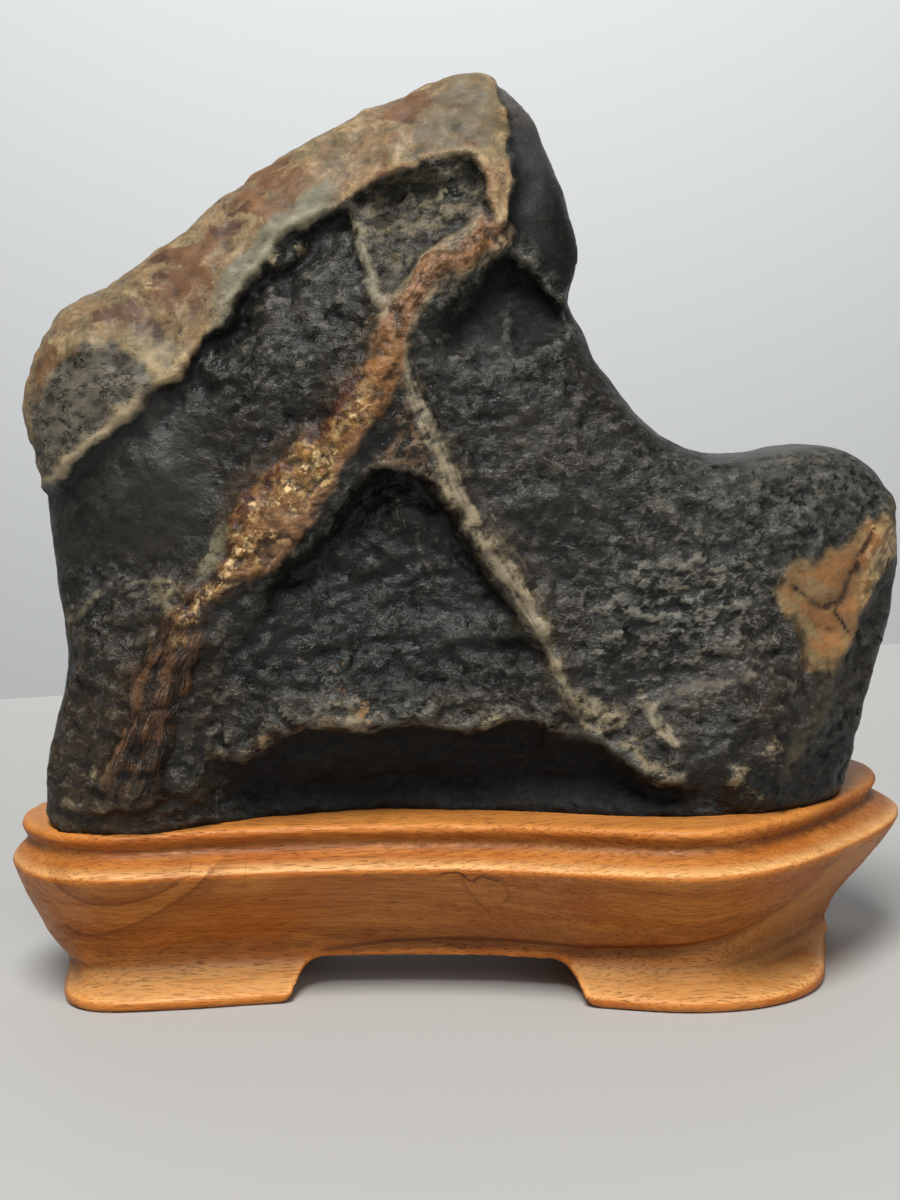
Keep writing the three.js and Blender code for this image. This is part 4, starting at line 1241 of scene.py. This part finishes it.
def woodMaterial():
    look = woodLook
    material, tree, shader = newMaterial("carvedRingPorousWood")
    place = placeInMm(tree)
    relief, hollow = field(tree, "relief"), field(tree, "hollow")
    parts = put(tree, "ShaderNodeSeparateXYZ", {0: place})
    y, z = parts.outputs["Y"], parts.outputs["Z"]

    # flat-sawn wood: wide rings from a heart far below, bent a little along the length
    axisY, axisZ = look["ringAxis"]
    bend = times(tree, minus(tree, grain(tree, place, (80, 60, 60), 2, 0.5), 0.5), 26.0)
    across = minus(tree, y, axisY)
    above = plus(tree, minus(tree, z, axisZ), bend)
    radius = work(tree, "SQRT", plus(tree, times(tree, across, across), times(tree, above, above)))
    ripple = times(tree, minus(tree, grain(tree, place, (30, 8, 8), 3, 0.5), 0.5), 2.5)
    phase = work(tree, "FRACT", work(tree, "DIVIDE", plus(tree, radius, ripple), look["ringGap"]))
    early = times(tree, ease(tree, phase, 0.0, 0.05), ease(tree, phase, 0.45, 0.05))

    fibres = grain(tree, place, (38, 1.3, 1.1), 5, 0.62)
    broad = grain(tree, place, (55, 5, 4), 3, 0.55)
    tone = plus(tree, times(tree, early, 0.16), times(tree, minus(tree, fibres, 0.5), 0.95),
                times(tree, minus(tree, broad, 0.5), 0.5))
    colour = mixColour(tree, ease(tree, tone, -0.16, 0.20), look["light"], look["middle"])
    colour = mixColour(tree, ease(tree, tone, 0.12, 0.45, 0.0, 0.55), colour, look["dark"])
    red = ease(tree, grain(tree, place, (30, 14, 12), 3, 0.55), 0.46, 0.64)
    colour = mixColour(tree, times(tree, red, 0.55), colour, look["reddish"])

    # tops of the ledge and toes get a painted highlight in streaks
    streaky = plus(tree, times(tree, fibres, 0.6), times(tree, broad, 0.4))
    topHighlightMask = times(tree, field(tree, "upward"), ease(tree, streaky, 0.40, 0.54, 0.5, 0.95),
                   ease(tree, z, 8.0, 16.0, 0.75, 1.0))
    colour = mixColour(tree, topHighlightMask, colour, look["topHighlight"])
    # painted highlight along the top of the rim
    colour = mixColour(tree, times(tree, field(tree, "rimTop"), 0.45), colour, look["yellowish"])

    # growth lines, painted shade along the arris above the waist, and the knot
    wander = times(tree, minus(tree, grain(tree, place, (9, 5, 5), 4, 0.6), 0.5), 1.2)
    gap = work(tree, "ABSOLUTE", plus(tree, field(tree, "growthLine"), wander))
    line = ease(tree, gap, 0.75, 0.1)
    halo = times(tree, ease(tree, plus(tree, field(tree, "growthSide"), wander), -0.6, 0.4),
                 ease(tree, field(tree, "growthSide"), 7.0, 0.5))
    colour = mixColour(tree, times(tree, halo, 0.40), colour, look["dark"])
    colour = mixColour(tree, times(tree, line, 0.60), colour, look["dark"])
    sweep = plus(tree, field(tree, "sweep"), times(tree, wander, 0.5))
    faceLow = times(tree, ease(tree, sweep, 7.0, 1.0), ease(tree, sweep, -0.6, 0.3), field(tree, "sweepEnds"))
    colour = mixColour(tree, times(tree, faceLow, 0.48), colour, look["dark"])
    # painted highlight where the flare below the arris turns up towards the toe, at the right
    sweptOut = times(tree, ease(tree, sweep, -0.2, -1.6), ease(tree, sweep, -16.0, -8.0),
                     ease(tree, parts.outputs["X"], 25.0, 55.0))
    colour = mixColour(tree, times(tree, sweptOut, 0.6), colour, look["yellowish"])
    # painted shade along the arris
    arris = times(tree, ease(tree, work(tree, "ABSOLUTE", sweep), 1.0, 0.2), field(tree, "sweepEnds"))
    colour = mixColour(tree, times(tree, arris, 0.75), colour, look["dark"])
    knot = edgeMask(tree, place, field(tree, "knot"), 3, 0.3, 0.3)
    colour = mixColour(tree, times(tree, knot, 0.35), colour, look["light"])
    knotRim = times(tree, ease(tree, work(tree, "ABSOLUTE", field(tree, "knot")), 0.5, 0.1), 0.4)
    colour = mixColour(tree, knotRim, colour, look["dark"])

    # open pores: short dark dashes, closest together in the early wood
    fewer = ease(tree, early, 0.0, 0.6, 0.55, 1.0)
    pores = times(tree, fleckMask(tree, place, (4.2, 0.36, 0.32), 0.585, 0.65), fewer)
    longPores = times(tree, fleckMask(tree, place, (9.0, 0.5, 0.42), 0.65, 0.71), fewer)
    pores = work(tree, "MAXIMUM", pores, longPores)
    colour = mixColour(tree, times(tree, pores, 0.55), colour, look["pore"])
    crack = ease(tree, field(tree, "knotCrack"), 0.40, 0.12)
    colour = mixColour(tree, times(tree, crack, 0.7), colour, look["pore"])
    # painted shade in the hollows and painted highlights on the ridges
    colour = paintShadeAndShine(tree, colour, hollow, 1.4, 0.35, 0.15)
    colour = paintShadeAndShine(tree, colour, relief, 0.14, 0.35, 0.3)
    tree.links.new(colour, shader.inputs["Base Color"])

    tree.links.new(ease(tree, fibres, 0.3, 0.7, 0.40, 0.56), shader.inputs["Roughness"])
    shader.inputs["Specular IOR Level"].default_value = 0.26
    pits = fleckMask(tree, place, (4.2, 0.36, 0.32), 0.585, 0.65)
    height = plus(tree, times(tree, pits, -0.12), times(tree, fibres, 0.22), times(tree, crack, -0.3))
    bump = put(tree, "ShaderNodeBump", {"Height": height, "Distance": mm, "Strength": 0.9})
    tree.links.new(bump.outputs[0], shader.inputs["Normal"])
    return material


# the two pieces

stone = fineCopy("scholars_rock", "stone", stoneDetail)
shapeStone(stone)
stone.data.materials.clear()
stone.data.materials.append(stoneMaterial())
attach(stone, "root")
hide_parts("scholars_rock")
print("stone shaped:", len(stone.data.polygons), "faces")

stand = fineCopy("carved_stand", "stand", standDetail)
shapeStand(stand)
stand.data.materials.clear()
stand.data.materials.append(woodMaterial())
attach(stand, "root")
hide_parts("carved_stand")
print("stand shaped:", len(stand.data.polygons), "faces")
